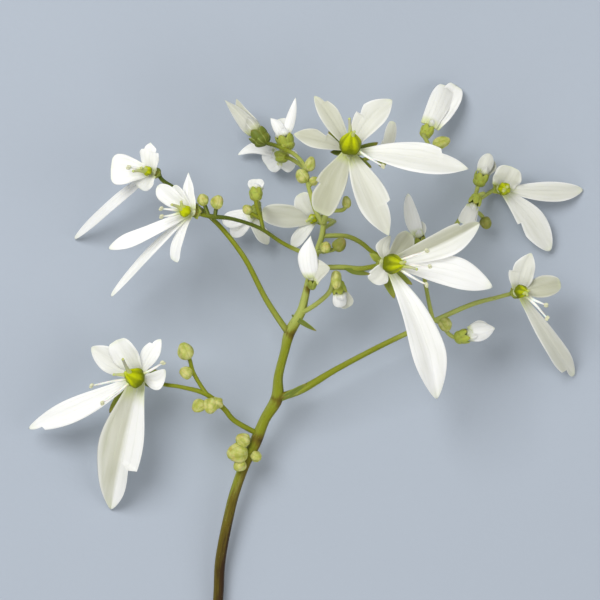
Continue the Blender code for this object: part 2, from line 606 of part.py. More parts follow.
def opening_petals(flower):
    """The petals of a half-open flower, folded round its rounded middle.
    A petal whose edges turn down lies over the middle, any other under it."""
    cup = Vector(flower.cup)
    across, up, axis = frame_of(Vector(flower.tip) - cup)
    length = (Vector(flower.tip) - cup).length
    depth = min(0.6 * length, 2.4 * flower.body)
    pieces = [turned(cup, axis, lambda share, angle: flower.body * (0.95 - 0.25 * share), 0.0, depth, 8, 4)]
    for shape in flower.petals:
        outward = shape.tip - cup
        outward -= axis * outward.dot(axis)
        root = cup + axis * 0.25 * depth + outward.normalized() * flower.body * 0.2
        root.z += flower.body * (0.45 if shape.cup < 0.0 else -0.25)
        pieces.append(blade(root, shape._replace(foot=FOLDED_FOOT_SHARE), UPWARD))
    return pieces


def opening_cup(flower):
    """The green cup of a half-open flower."""
    cup = Vector(flower.cup)
    across, up, axis = frame_of(Vector(flower.tip) - cup)
    top = cup - axis * NODE_GAP

    def radius_at(share, angle):
        return flower.body * 0.9 * (0.85 + 0.25 * share) * (1.0 + 0.06 * math.cos(5 * angle))

    depth = opening_cup_depth(flower)
    return [turned(top - axis * depth, axis, radius_at, 0.0, depth, 10, 4)]


def opening_cup_depth(flower):
    return min(1.3, 0.3 + 0.9 * flower.body)


def cup_end(flower):
    """Where the stalk of a half-open flower ends, inside its cup."""
    cup = Vector(flower.cup)
    axis = (Vector(flower.tip) - cup).normalized()
    return cup - axis * (NODE_GAP + opening_cup_depth(flower) - STALK_INSET)


def on_axis(y, radius=BRANCH_RADIUS):
    """A point on the middle line of the main stalk, at a place up the stem."""
    for low, high in zip(AXIS, AXIS[1:]):
        if low[1] <= y <= high[1]:
            share = (y - low[1]) / (high[1] - low[1])
            return (*(a + (b - a) * share for a, b in zip(low[:3], high[:3])), radius)
    raise ValueError(y)


def at(place, radius=STALK_RADIUS):
    return (*place, radius)


def stem_pieces():
    """The green parts: stalks, nodes, bracts, cups, sepals and closed buds."""
    bloom = {one.name: one for one in BLOOMS}
    flower = {one.name: one for one in OPENINGS}
    thin = STALK_RADIUS
    thick = BRANCH_RADIUS
    pieces = [stalk(AXIS, 8, 1)]

    # The lower left branch, which carries a bloom and two groups of buds
    pieces.append(stalk([
        on_axis(-16.9), (-8.2, -15.2, 5.4, thick), (-9.6, -13.6, 6.5, thick), (-11.9, -11.75, 7.2, 0.32),
        (-15.0, -10.9, 7.0, thin), (-17.4, -10.5, 6.2, thin), at(cup_foot(bloom["lower_left_bloom"]))]))
    pieces.append(stalk([
        (-9.9, -13.3, 6.5, thin), (-11.2, -13.2, 7.1, BRANCH_RADIUS), (-12.7, -13.2, 7.2, thin)], 6, 1))
    pieces.append(stalk([
        (-11.6, -11.9, 7.1, thin), (-12.4, -10.8, 7.5, thin), (-13.4, -9.0, 8.1, thin),
        (-13.8, -7.5, 8.7, thin), (-14.2, -6.7, 9.0, thin)], 6, 1))
    pieces.append(stalk([(-13.2, -9.3, 8.0, thin), (-14.0, -9.15, 8.2, thin)], 6, 1))

    # The right branch, which carries the right bloom, a white bud and a green bud
    pieces.append(stalk([
        on_axis(-12.3, 0.5), (0.3, -11.2, 5.9, 0.5), (4.7, -8.6, 7.0, 0.38), (10.6, -5.5, 8.0, 0.34),
        (16.9, -2.55, 8.4, 0.32), (21.5, -0.55, 8.2, 0.3), (24.6, 0.3, 7.9, thin),
        at(cup_foot(bloom["right_bloom"]))]))
    pieces.append(stalk([
        (16.9, -2.55, 8.4, thin), (17.7, -3.0, 8.4, thin), (18.7, -4.3, 8.2, thin),
        at(cup_end(flower["right_white_bud"]))], 6, 1))
    pieces.append(stalk([
        (16.7, -2.6, 8.4, thin), (16.2, -0.5, 8.7, thin), (15.7, 2.1, 9.0, thin), (15.3, 4.4, 9.2, thin),
        at(cup_end(flower["behind_middle_opening_flower"]))], 6, 1))

    # The long left branch, which carries the far left bloom
    pieces.append(stalk([
        on_axis(-4.3, 0.42), (-4.2, 0.0, 9.0, 0.36), (-6.9, 5.2, 10.6, 0.33), (-9.9, 9.1, 11.4, 0.3),
        (-12.6, 11.5, 11.2, thin), (-15.6, 13.9, 10.2, thin), (-17.2, 15.0, 8.9, thin),
        at(cup_foot(bloom["far_left_bloom"]))]))

    # The upper left branch, which carries the left bloom, two groups of buds and a flower behind
    pieces.append(stalk([
        on_axis(5.3, 0.3), (-1.8, 6.9, 11.9, 0.26), (-5.1, 9.0, 12.8, 0.24), (-8.4, 10.1, 13.6, 0.24),
        (-10.9, 10.4, 13.8, 0.3), (-12.4, 10.7, 13.2, thin), at(cup_foot(bloom["left_bloom"]))]))
    pieces.append(stalk([(-4.6, 8.8, 12.6, thin), (-4.9, 10.2, 13.0, thin), (-5.4, 11.7, 13.8, thin),
                         at(cup_end(flower["left_opening_flower"]))], 6, 1))
    pieces.append(stalk([(-5.0, 10.2, 13.0, thin), (-6.4, 11.0, 13.1, thin)], 6, 1))
    pieces.append(stalk([(-10.6, 10.4, 13.8, thin), (-10.4, 11.8, 14.4, thin)], 6, 1))
    pieces.append(stalk([(-11.4, 10.5, 13.7, thin), (-12.0, 12.2, 14.1, thin)], 6, 1))
    pieces.append(stalk([
        (-4.9, 10.1, 13.0, thin), (-5.1, 11.6, 9.0, thin), (-5.2, 12.2, 6.2, thin),
        at(cup_end(flower["back_left_opening_flower"]))]))

    # The branch of the middle bloom
    pieces.append(stalk([
        on_axis(4.0), (5.1, 4.1, 11.4, 0.34), (7.4, 3.9, 13.2, 0.34), (9.2, 4.2, 14.6, 0.3),
        at(cup_foot(bloom["middle_bloom"]))]))

    # The long branch behind, which carries the far right bloom and its buds
    pieces.append(stalk([
        on_axis(8.0, 0.3), (5.7, 8.0, 10.6, 0.3), (7.6, 7.2, 10.0, 0.3), (9.6, 5.7, 9.2, 0.28),
        (12.8, 4.7, 8.2, 0.28), (16.4, 6.0, 6.8, 0.28), (19.2, 8.9, 5.0, 0.28), (21.2, 11.6, 3.2, 0.28),
        (23.2, 13.1, 1.8, thin), at(cup_foot(bloom["far_right_bloom"]))], 6, 1))
    pieces.append(stalk([(22.4, 12.6, 2.4, thin), (23.1, 13.4, 3.9, thin),
                         at(cup_end(flower["far_right_white_bud"]))], 6, 1))
    pieces.append(stalk([(21.2, 11.6, 3.3, thin), (22.0, 13.0, 3.2, thin),
                         at(cup_end(flower["far_right_opening_flower"]))], 6, 1))
    pieces.append(stalk([(21.3, 11.4, 3.2, thin), (22.6, 10.9, 3.0, thin), (23.2, 10.1, 3.0, thin)], 6, 1))

    # The top: the stalk of the top bloom, with a branch to the right below its long petal
    pieces.append(stalk([
        AXIS[-1], (3.6, 12.0, 14.6, 0.34), (4.9, 15.6, 18.2, 0.3), at(cup_foot(bloom["top_bloom"]))]))
    pieces.append(stalk([
        (3.8, 12.6, 15.2, thin), (5.4, 15.6, 14.6, thin), (8.5, 17.7, 12.8, thin), (12.4, 17.4, 11.0, thin),
        (15.4, 17.6, 9.4, thin), (16.2, 19.0, 7.4, thin), (15.6, 20.6, 5.4, thin),
        at(cup_end(flower["upper_right_opening_flower"]))], 6, 1))
    pieces.append(stalk([(15.9, 18.3, 8.6, thin), (17.4, 19.6, 9.0, thin)], 6, 1))
    pieces.append(stalk([(9.8, 17.7, 12.2, thin), (10.0, 17.0, 12.6, thin),
                         at(cup_end(flower["behind_top_opening_flower"]))], 6, 1))
    pieces.append(stalk([(3.4, 11.2, 13.8, thin), (5.2, 11.2, 13.2, thin), (5.8, 11.8, 13.0, thin)], 6, 1))

    # The top left stalk, which carries three buds and three half-open flowers
    pieces.append(stalk([
        on_axis(9.3, 0.32), (1.9, 11.3, 12.0, 0.3), (1.4, 13.0, 11.8, 0.28), (1.0, 14.4, 11.4, thin),
        (0.7, 16.2, 11.0, thin), (0.3, 17.2, 10.4, thin), (-0.8, 18.3, 9.4, thin), (-2.6, 19.2, 8.2, thin),
        at(cup_end(flower["upper_left_opening_flower"]))], 6, 1))
    pieces.append(stalk([(0.7, 16.0, 11.0, thin), (1.2, 16.6, 11.5, thin)], 6, 1))
    pieces.append(stalk([(1.1, 14.2, 11.4, thin), (1.7, 14.8, 11.7, thin)], 6, 1))
    pieces.append(stalk([(-1.2, 18.5, 9.1, thin), (-1.9, 18.8, 8.4, thin),
                         at(cup_end(flower["top_opening_flower"]))], 6, 1))
    pieces.append(stalk([(0.7, 15.6, 11.1, thin), (0.4, 16.6, 8.0, thin), (-0.9, 17.6, 6.4, thin),
                         at(cup_end(flower["back_opening_flower"]))], 6, 1))

    # The flower that hangs behind the top of the main stalk
    pieces.append(stalk([
        on_axis(8.9, thin), (4.1, 9.7, 9.2, thin), (4.2, 9.9, 6.2, thin), (3.6, 10.1, 4.2, thin),
        at(cup_foot(bloom["back_bloom"]))], 6, 1))

    # The small stalks at the front of the main stalk, with their buds
    pieces.append(stalk([on_axis(2.2, thin), (1.3, 1.9, 11.4, thin),
                         at(cup_end(flower["front_opening_flower"]))], 6, 1))
    pieces.append(stalk([on_axis(5.9, thin), (3.0, 6.2, 12.4, thin), (3.2, 6.5, 13.0, thin)], 6, 1))
    pieces.append(stalk([(2.8, 6.0, 11.8, thin), (4.2, 6.3, 12.4, thin), (4.8, 6.7, 12.7, thin)], 6, 1))
    pieces.append(stalk([on_axis(-1.7, 0.3), (1.9, -0.6, 9.6, 0.3), (3.6, 0.9, 11.4, 0.3),
                         (4.1, 2.2, 12.6, 0.3)], 6, 1))
    pieces.append(stalk([(3.4, 0.7, 11.2, thin), (4.4, 1.9, 11.4, thin),
                         at(cup_end(flower["hanging_opening_flower"]))], 6, 1))

    # The longer sepals, and bracts at the forks
    for name, tip, width in LONG_SEPALS:
        pieces.append(bract(sepal_root(bloom[name]), tip, width))
    pieces += [
        bract(on_axis(-1.9)[:3], (2.1, -3.9, 8.6), 0.7),
        bract(on_axis(-12.8)[:3], (0.9, -10.4, 6.5), 0.8),
        bract((5.6, 3.9, 12.0), (8.8, 3.2, 13.6), 0.8),
    ]
    for one in BLOOMS:
        pieces += cup_of(one)
    for one in OPENINGS:
        pieces += opening_cup(one)
    for middle, axis, radius, length in BUDS:
        pieces.append(bud(middle, axis, radius, length))
    return pieces


def bract(root, tip, width):
    """A small green scale at a fork, or a sepal."""
    shape = petal(tip, width, 0.4, 0.25, stations=4)
    return blade(root, shape, (0.0, -0.2, 1.0))


clear_scene()
part = collection("saxifraga_flowering_stem")
joining = collection("joining")
WHITE = finish_material("white_petal", (0.88, 0.9, 0.84), 0.5)
LIME = finish_material("lime_heart", (0.55, 0.62, 0.12), 0.45)
GREEN = finish_material("green_stem", (0.25, 0.31, 0.09), 0.5)

fuse("stem", stem_pieces(), GREEN)
for one in BLOOMS:
    fuse(one.name + "_petals", petals_of(one), WHITE)
    fuse(one.name + "_heart", heart_of(one), LIME)
for one in OPENINGS:
    fuse(one.name + "_petals", opening_petals(one), WHITE)
bpy.data.collections.remove(joining)
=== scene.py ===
# A cut flowering stem of an autumn saxifrage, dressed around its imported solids.
# Lengths are in millimetres until they reach a mesh, which is in metres.
# X runs across the spray, Y up the stem, and Z away from the surface that it lies on.

import math
import random
from collections import namedtuple

import bmesh
import bpy
from bpy.props import FloatProperty, FloatVectorProperty, IntProperty, PointerProperty
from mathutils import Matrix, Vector, noise


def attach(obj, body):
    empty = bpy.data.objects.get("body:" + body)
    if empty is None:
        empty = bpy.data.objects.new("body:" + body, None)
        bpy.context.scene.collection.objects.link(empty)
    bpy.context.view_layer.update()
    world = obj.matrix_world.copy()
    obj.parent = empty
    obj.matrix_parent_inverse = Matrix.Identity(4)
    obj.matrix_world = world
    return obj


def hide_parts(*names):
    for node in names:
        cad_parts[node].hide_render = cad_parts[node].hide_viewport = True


bl_info = {
    "name": "Autumn saxifrage stem",
    "version": (1, 0, 0),
    "blender": (4, 5, 0),
    "location": "View3D > Sidebar > Saxifrage",
    "description": "Builds a cut flowering stem of an autumn saxifrage, piece by piece",
    "category": "Object",
}

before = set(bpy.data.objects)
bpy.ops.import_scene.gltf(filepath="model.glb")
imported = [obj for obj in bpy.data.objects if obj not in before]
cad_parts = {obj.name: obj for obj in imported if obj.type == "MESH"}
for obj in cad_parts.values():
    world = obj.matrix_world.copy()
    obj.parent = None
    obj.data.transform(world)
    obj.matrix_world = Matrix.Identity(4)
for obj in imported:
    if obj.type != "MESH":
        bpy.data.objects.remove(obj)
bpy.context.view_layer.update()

MM = 0.001
UPWARD = (0.0, 0.0, 1.0)

# Sizes that the solids have too
PETAL_FOOT_SHARE = 0.3
FOLDED_FOOT_SHARE = 0.75
STALK_RADIUS = 0.26
BRANCH_RADIUS = 0.34
NODE_GAP = 0.3
SEPAL_DROOP = 0.45
HUB_DEPTH = 0.5
CUP_DEPTH = 1.4
STALK_INSET = 0.3
CUT_LENGTH_BELOW = 15.0
STAMEN_RISE = 0.45
STYLE_SHARES = (1.0, 0.55)

# A flower's sepals and the ridges of its cup, ovary and bud come in fives, and so do a stalk's ridges
FIVE = 5

# The length of an anther, the radii of a style at its foot, middle and tip, and the radius of the
# stigma at its tip with how far that reaches below and above it
ANTHER_LENGTH = 0.6
STYLE_RADII = (0.34, 0.22, 0.16)
STIGMA_RADIUS = 0.19
STIGMA_REACH = (-0.12, 0.14)

# How far an ovary reaches below and above its middle, as shares of its radius
OVARY_REACH = (-0.65, 1.5)

# How deep the ridges of the main stalk and of the others are, how much browner its right flank is
# painted than its middle as painted shade, and greener its left flank as a painted highlight, and how
# much darker and paler the flanks are painted with that
MAIN_RIDGE = 0.035
STALK_RIDGE = 0.03
MAIN_SIDE_SHADE = 0.24
FLANK_SHADE = 1.8

# How much the grain that the finishes follow is drawn out along a stalk or a blade
GRAIN_SHARE = 0.12

# A blade's edges: how much they wobble and lift in waves, how often, and how much they twist
EDGE_WOBBLE = 0.025
EDGE_LIFT = 0.07
WOBBLES = 9.0
LIFTS = 13.0
TWIST = 0.12

# A blade's middle: how deep and wide its channel is, and over which share of its width the tone of its
# left half goes over into that of its right half, where a pair of tones paints shade on one half of a fold
CHANNEL_DEPTH = 0.05
CHANNEL_WIDTH = 0.14
TONE_BLEND = 0.12

# How thick a blade's tip is, as a share of its foot, and how long the step of a tooth is
TIP_SHARE = 0.45
TOOTH_STEP = 0.012

# How far blades and hairs stay above the floor, and how thick a hair is at its foot
BLADE_CLEARANCE = 0.02
HAIR_CLEARANCE = 0.03
HAIR_RADIUS = 0.02

# How finely the forms are drawn: the sides of a stalk and the steps between the places of its route,
# the sides and rings of a round form, and the rows and columns of a blade
MAIN_STALK_GRID = (28, 6)
STALK_GRID = (16, 6)
HAIR_STEPS = 4
STYLE_GRID = (12, 8)
FILAMENT_GRID = (8, 6)
CUP_GRID = (30, 16)
BUD_GRID = (40, 24)
OVARY_GRID = (60, 30)
STIGMA_GRID = (14, 8)
ANTHER_GRID = (12, 8)
HUB_GRID = (24, 10)
BODY_GRID = (30, 20)
PETAL_GRID = (44, 20)
FOLDED_PETAL_GRID = (28, 16)
SEPAL_GRID = (16, 12)
CLASPING_SEPAL_GRID = (12, 10)
BRACT_GRID = (14, 10)

# The stage, in metres: half the floor's width, the place that the lights face, each light's name,
# place, size and power, the colour and strength of the sky, how wide the picture is, and at which
# height above the floor it is that wide
FLOOR_HALF = 4.0
LIT_PLACE = Vector((0.0, 0.01, 0.01))
LIGHTS = (
    ("key_light", (-0.22, 0.26, 0.5), 0.35, 2.6),
    ("fill_light", (0.42, -0.1, 0.4), 0.5, 0.9),
    ("front_light", (-0.1, -0.45, 0.3), 0.4, 0.6),
)
SKY_COLOUR = (1.0, 0.99, 0.97, 1.0)
SKY_STRENGTH = 0.35
PICTURE_WIDTH = 75.0 * MM
PICTURE_HEIGHT = 11.0 * MM

# The camera's lens and sensor, in millimetres, and how far it sees, in metres
LENS = 500.0
SENSOR_WIDTH = 36.0
FARTHEST = 10.0

# Where the middle of the spray's outline lies in the drawing that the places below are measured in
OUTLINE_MIDDLE = Vector((0.83, -12.45, 0.0))

# The main stalk from its cut end to its top: x, y, z and radius
AXIS = [
    (-11.3, -37.5 - CUT_LENGTH_BELOW, 0.62, 0.66),
    (-10.9, -45.0, 0.9, 0.64),
    (-10.3, -37.5, 1.4, 0.64),
    (-10.0, -32.6, 1.9, 0.66),
    (-8.8, -26.5, 2.6, 0.64),
    (-8.0, -23.6, 3.0, 0.64),
    (-6.9, -20.6, 3.5, 0.66),
    (-5.6, -17.9, 4.0, 0.76),
    (-4.4, -15.0, 4.5, 0.66),
    (-2.9, -12.4, 5.0, 0.78),
    (-2.7, -9.6, 5.6, 0.58),
    (-1.9, -6.4, 6.4, 0.56),
    (-1.3, -4.1, 7.0, 0.7),
    (0.1, -1.6, 7.8, 0.6),
    (0.55, 0.0, 8.3, 0.5),
    (1.1, 2.5, 9.2, 0.42),
    (1.5, 4.2, 9.9, 0.4),
    (2.25, 6.4, 10.7, 0.38),
    (2.75, 8.0, 11.3, 0.36),
    (2.95, 9.5, 11.8, 0.36),
]

# The nodes of the main stalk, where its branches leave it, as places up the stem
STALK_NODES = (-17.4, -12.4, -4.1, 1.6, 4.6)

# The stretch of the main stalk in which places up the stem are looked up
STALK_STRETCH = (-52.0, 9.0)

# A petal: its tip, its greatest width and where that is along it, how far its middle arches towards
# its face and to its side, how far its edges turn up, how blunt its tip is, its teeth, how much of its
# width it has at its foot, and how creamy it is: 0 is the whitest, 1 a greenish beige, and a pair is
# for its left and its right half. This is partly the petal's own cream and partly painted shade: petals
# that lie in shade are painted beige, and a pair paints shade on the half of a folded petal that turns
# away from the light
Petal = namedtuple("Petal", "tip width widest bow sway cup blunt teeth foot cream")

# A tooth in a petal's edge: +1 right or -1 left, how far along, how deep, how long its notch is
Tooth = namedtuple("Tooth", "side along depth reach")

# An open bloom: the middle of its ovary, where it faces, the ovary's radius, its petals, its stamens
# by their angle in degrees and how far out they reach, where its ovary and styles point, how far
# its sepals stand out, the angle of the first of them, how long its longer style is, how widely its
# styles spread, and how light its ovary is: 0 is olive, 1 the brightest lime
# An ovary's lightness is partly painted light: blooms in full light get lighter ovaries, blooms in shade
# darker ones
Bloom = namedtuple(
    "Bloom", "name heart facing ovary petals stamens lean sepal first_sepal style spread light")

# A half-open flower: where its petals leave the green cup, where it points, the radius of the rounded
# middle that its petals fold round, how light its cup is (0 is dark, 1 a pale lime), and its petals
# A cup's lightness is partly painted shade: cups that lie in shade are painted darker
Opening = namedtuple("Opening", "name cup tip body light petals")


def petal(tip, width, widest=0.55, bow=0.5, sway=0.0, cup=0.15, blunt=0.65, teeth=(),
          foot=PETAL_FOOT_SHARE, cream=0.0):
    return Petal(Vector(tip), width, widest, bow, sway, cup, blunt, teeth, foot, cream)


BLOOMS = [
    Bloom("top_bloom", (6.2, 19.1, 24.0), (0.05, 0.36, 0.92), 1.55, [
        petal((1.75, 25.25, 22.0), 2.5, 0.6, 0.5, 0.2, blunt=0.8, teeth=[Tooth(1, 0.82, 0.45, 0.16)],
              foot=0.25, cream=0.8),
        petal((11.4, 24.8, 21.8), 3.6, 0.6, 0.6, -0.5, cup=0.35, blunt=0.8,
              teeth=[Tooth(-1, 0.5, 0.35, 0.16)], cream=0.5),
        petal((-0.8, 20.5, 22.8), 2.5, 0.62, 0.4, 0.1, blunt=0.85, teeth=[Tooth(1, 0.42, 0.4, 0.2)],
              foot=0.12, cream=0.85),
        petal((2.6, 10.6, 21.6), 3.8, 0.62, 0.5, 0.3, cup=0.2, blunt=0.28,
              teeth=[Tooth(1, 0.56, 0.3, 0.2)], foot=0.4, cream=1.0),
        petal((11.0, 7.9, 21.6), 4.1, 0.55, 0.8, 0.2, cup=0.2, blunt=0.95,
              teeth=[Tooth(-1, 0.64, 0.3, 0.22)], foot=0.28, cream=0.6),
        petal((20.9, 16.2, 21.4), 4.1, 0.6, 0.9, 0.0, cup=0.2, blunt=0.95,
              teeth=[Tooth(-1, 0.74, 0.35, 0.2)], foot=0.12, cream=0.3),
    ], [(-33, 4.8)], (0.08, 0.72, 0.7), 1.3, 28, 2.6, 0.2, 0.3),
    Bloom("middle_bloom", (11.3, 4.5, 19.0), (0.35, 0.0, 0.93), 1.4, [
        petal((11.2, 8.0, 17.2), 1.8, 0.5, 0.3, -0.9, foot=0.5, cream=0.6),
        petal((13.6, 8.4, 16.8), 2.6, 0.65, 0.4, cup=0.4, blunt=0.4, cream=1.0),
        petal((8.8, 2.3, 17.0), 2.6, 0.55, 0.3, -0.2, blunt=0.4, teeth=[Tooth(1, 0.7, 0.25, 0.2)],
              foot=0.5, cream=0.5),
        petal((17.1, -12.4, 12.6), 4.4, 0.64, 1.2, -0.7, cup=0.25, blunt=0.75, foot=0.16, cream=0.1),
        petal((24.0, 1.6, 14.6), 3.9, 0.6, 0.9, -0.7, cup=0.25, blunt=0.75, foot=0.2),
        petal((22.4, 9.6, 15.6), 3.5, 0.64, 0.8, 0.4, cup=0.4, blunt=0.75,
              teeth=[Tooth(-1, 0.78, 0.3, 0.16)], cream=(0.9, 0.3)),
    ], [(20, 4.7), (-4, 4.8), (-31, 5.1)], (0.8, -0.05, 0.6), 1.2, 288, 2.4, 0.25, 0.22),
    Bloom("lower_left_bloom", (-20.55, -9.75, 9.2), (-0.25, -0.15, 0.95), 1.4, [
        petal((-23.0, -5.0, 9.3), 3.5, 0.62, 0.3, blunt=0.2, foot=0.45, cream=0.15),
        petal((-26.15, -5.9, 8.2), 3.3, 0.58, 0.3, -0.1, blunt=0.7, foot=0.45, cream=0.3),
        petal((-17.4, -4.9, 9.2), 2.3, 0.6, 0.3, -0.2, blunt=0.8, teeth=[Tooth(-1, 0.8, 0.4, 0.16)]),
        petal((-16.8, -8.9, 8.2), 2.4, 0.6, 0.2, 1.0, blunt=0.55, foot=0.5, cream=0.1),
        petal((-34.2, -16.2, 3.0), 3.0, 0.6, 0.8, -0.3, blunt=0.7, teeth=[Tooth(-1, 0.87, 0.6, 0.13)],
              foot=0.22),
        petal((-23.9, -26.5, 0.2), 5.9, 0.52, 0.9, -0.15, cup=0.55, blunt=0.85,
              teeth=[Tooth(-1, 0.6, 0.42, 0.36)], foot=0.34, cream=(0.0, 0.75)),
    ], [(29, 3.9), (190, 5.6), (217, 5.2)], (-0.7, 0.35, 0.65), 1.2, 229, 3.4, 0.55, 0.35),
    Bloom("left_bloom", (-14.3, 11.05, 15.0), (-0.6, 0.0, 0.8), 0.85, [
        petal((-13.9, 15.9, 14.2), 1.9, 0.35, 0.3, 0.1, blunt=0.95, foot=0.8),
        petal((-17.8, 14.2, 14.0), 2.5, 0.7, 0.3, blunt=0.5, foot=0.4),
        petal((-15.7, 14.3, 14.3), 1.8, 0.7, 0.2, blunt=0.4, foot=0.4, cream=0.1),
        petal((-23.9, 6.4, 12.4), 1.9, 0.72, 0.5, -0.3, foot=0.45),
        petal((-23.7, 0.4, 9.0), 1.25, 0.5, 0.6, 0.0, blunt=0.4, foot=0.65, cream=0.1),
        petal((-15.7, 4.8, 12.2), 1.8, 0.85, 0.3, 0.2, blunt=0.25, foot=0.5, cream=0.05),
    ], [(174, 3.0), (193, 3.0)], (-0.45, 0.5, 0.74), 0.4, 0, 1.9, 0.3, 0.95),
    Bloom("far_left_bloom", (-19.05, 16.15, 10.6), (-0.45, 0.1, 0.88), 0.68, [
        petal((-23.7, 16.4, 10.0), 3.9, 0.84, 0.3, blunt=0.25),
        petal((-18.7, 19.7, 10.6), 2.8, 0.6, 0.3, blunt=0.95,
              teeth=[Tooth(-1, 0.78, 0.35, 0.14), Tooth(1, 0.68, 0.35, 0.14)], foot=0.5),
        petal((-28.5, 7.7, 0.2), 1.45, 0.42, 0.8, -0.2, blunt=0.45, foot=0.6),
        petal((-20.0, 13.9, 9.4), 2.7, 0.6, 0.2, blunt=0.4, foot=0.7, cream=0.3),
    ], [(170, 2.4)], (-0.6, 0.1, 0.8), 0.2, 0, 1.9, 0.2, 0.7),
    Bloom("right_bloom", (27.6, 1.1, 10.2), (0.22, 0.06, 0.97), 0.95, [
        petal((28.9, 5.9, 10.6), 3.3, 0.45, 0.3, -0.4, blunt=0.75, teeth=[Tooth(-1, 0.48, 0.25, 0.22)],
              foot=0.5, cream=0.5),
        petal((32.7, 2.1, 8.0), 2.8, 0.6, 0.5, blunt=0.4, cream=0.95),
        petal((34.6, -9.6, 0.2), 2.7, 0.7, 1.0, 0.4, blunt=0.6, teeth=[Tooth(1, 0.86, 0.7, 0.14)],
              cream=0.6),
    ], [(-29, 3.6), (-46, 4.7)], (0.6, -0.1, 0.78), 0.15, 0, 1.0, 0.3, 0.1),
    Bloom("far_right_bloom", (25.7, 14.0, 4.7), (0.25, -0.05, 0.95), 0.9, [
        petal((26.6, 16.8, 4.4), 3.6, 0.6, 0.2, blunt=0.25, foot=0.8, cream=0.6),
        petal((35.75, 13.9, 0.2), 2.6, 0.6, 0.7, 0.3, cream=0.5),
        petal((31.6, 6.2, 1.0), 3.5, 0.6, 0.5, -0.3, teeth=[Tooth(1, 0.45, 0.3, 0.2)], cream=0.4),
    ], [], (0.1, 0.0, 0.99), 0.4, 0, 0.9, 0.4, 0.5),
    Bloom("back_bloom", (1.6, 10.2, 6.2), (-0.4, 0.0, 0.9), 0.7, [
        petal((-4.85, 10.9, 5.4), 3.0, 0.6, 0.4, blunt=0.35, foot=0.45, cream=0.7),
        petal((0.0, 13.4, 6.2), 2.9, 0.6, 0.3, blunt=0.35, foot=0.6, cream=0.5),
        petal((-1.0, 6.7, 4.4), 1.9, 0.6, 0.4, blunt=0.45, foot=0.4, cream=0.3),
    ], [], (-0.3, 0.0, 0.95), 0.3, 0, 0.9, 0.4, 0.5),
]

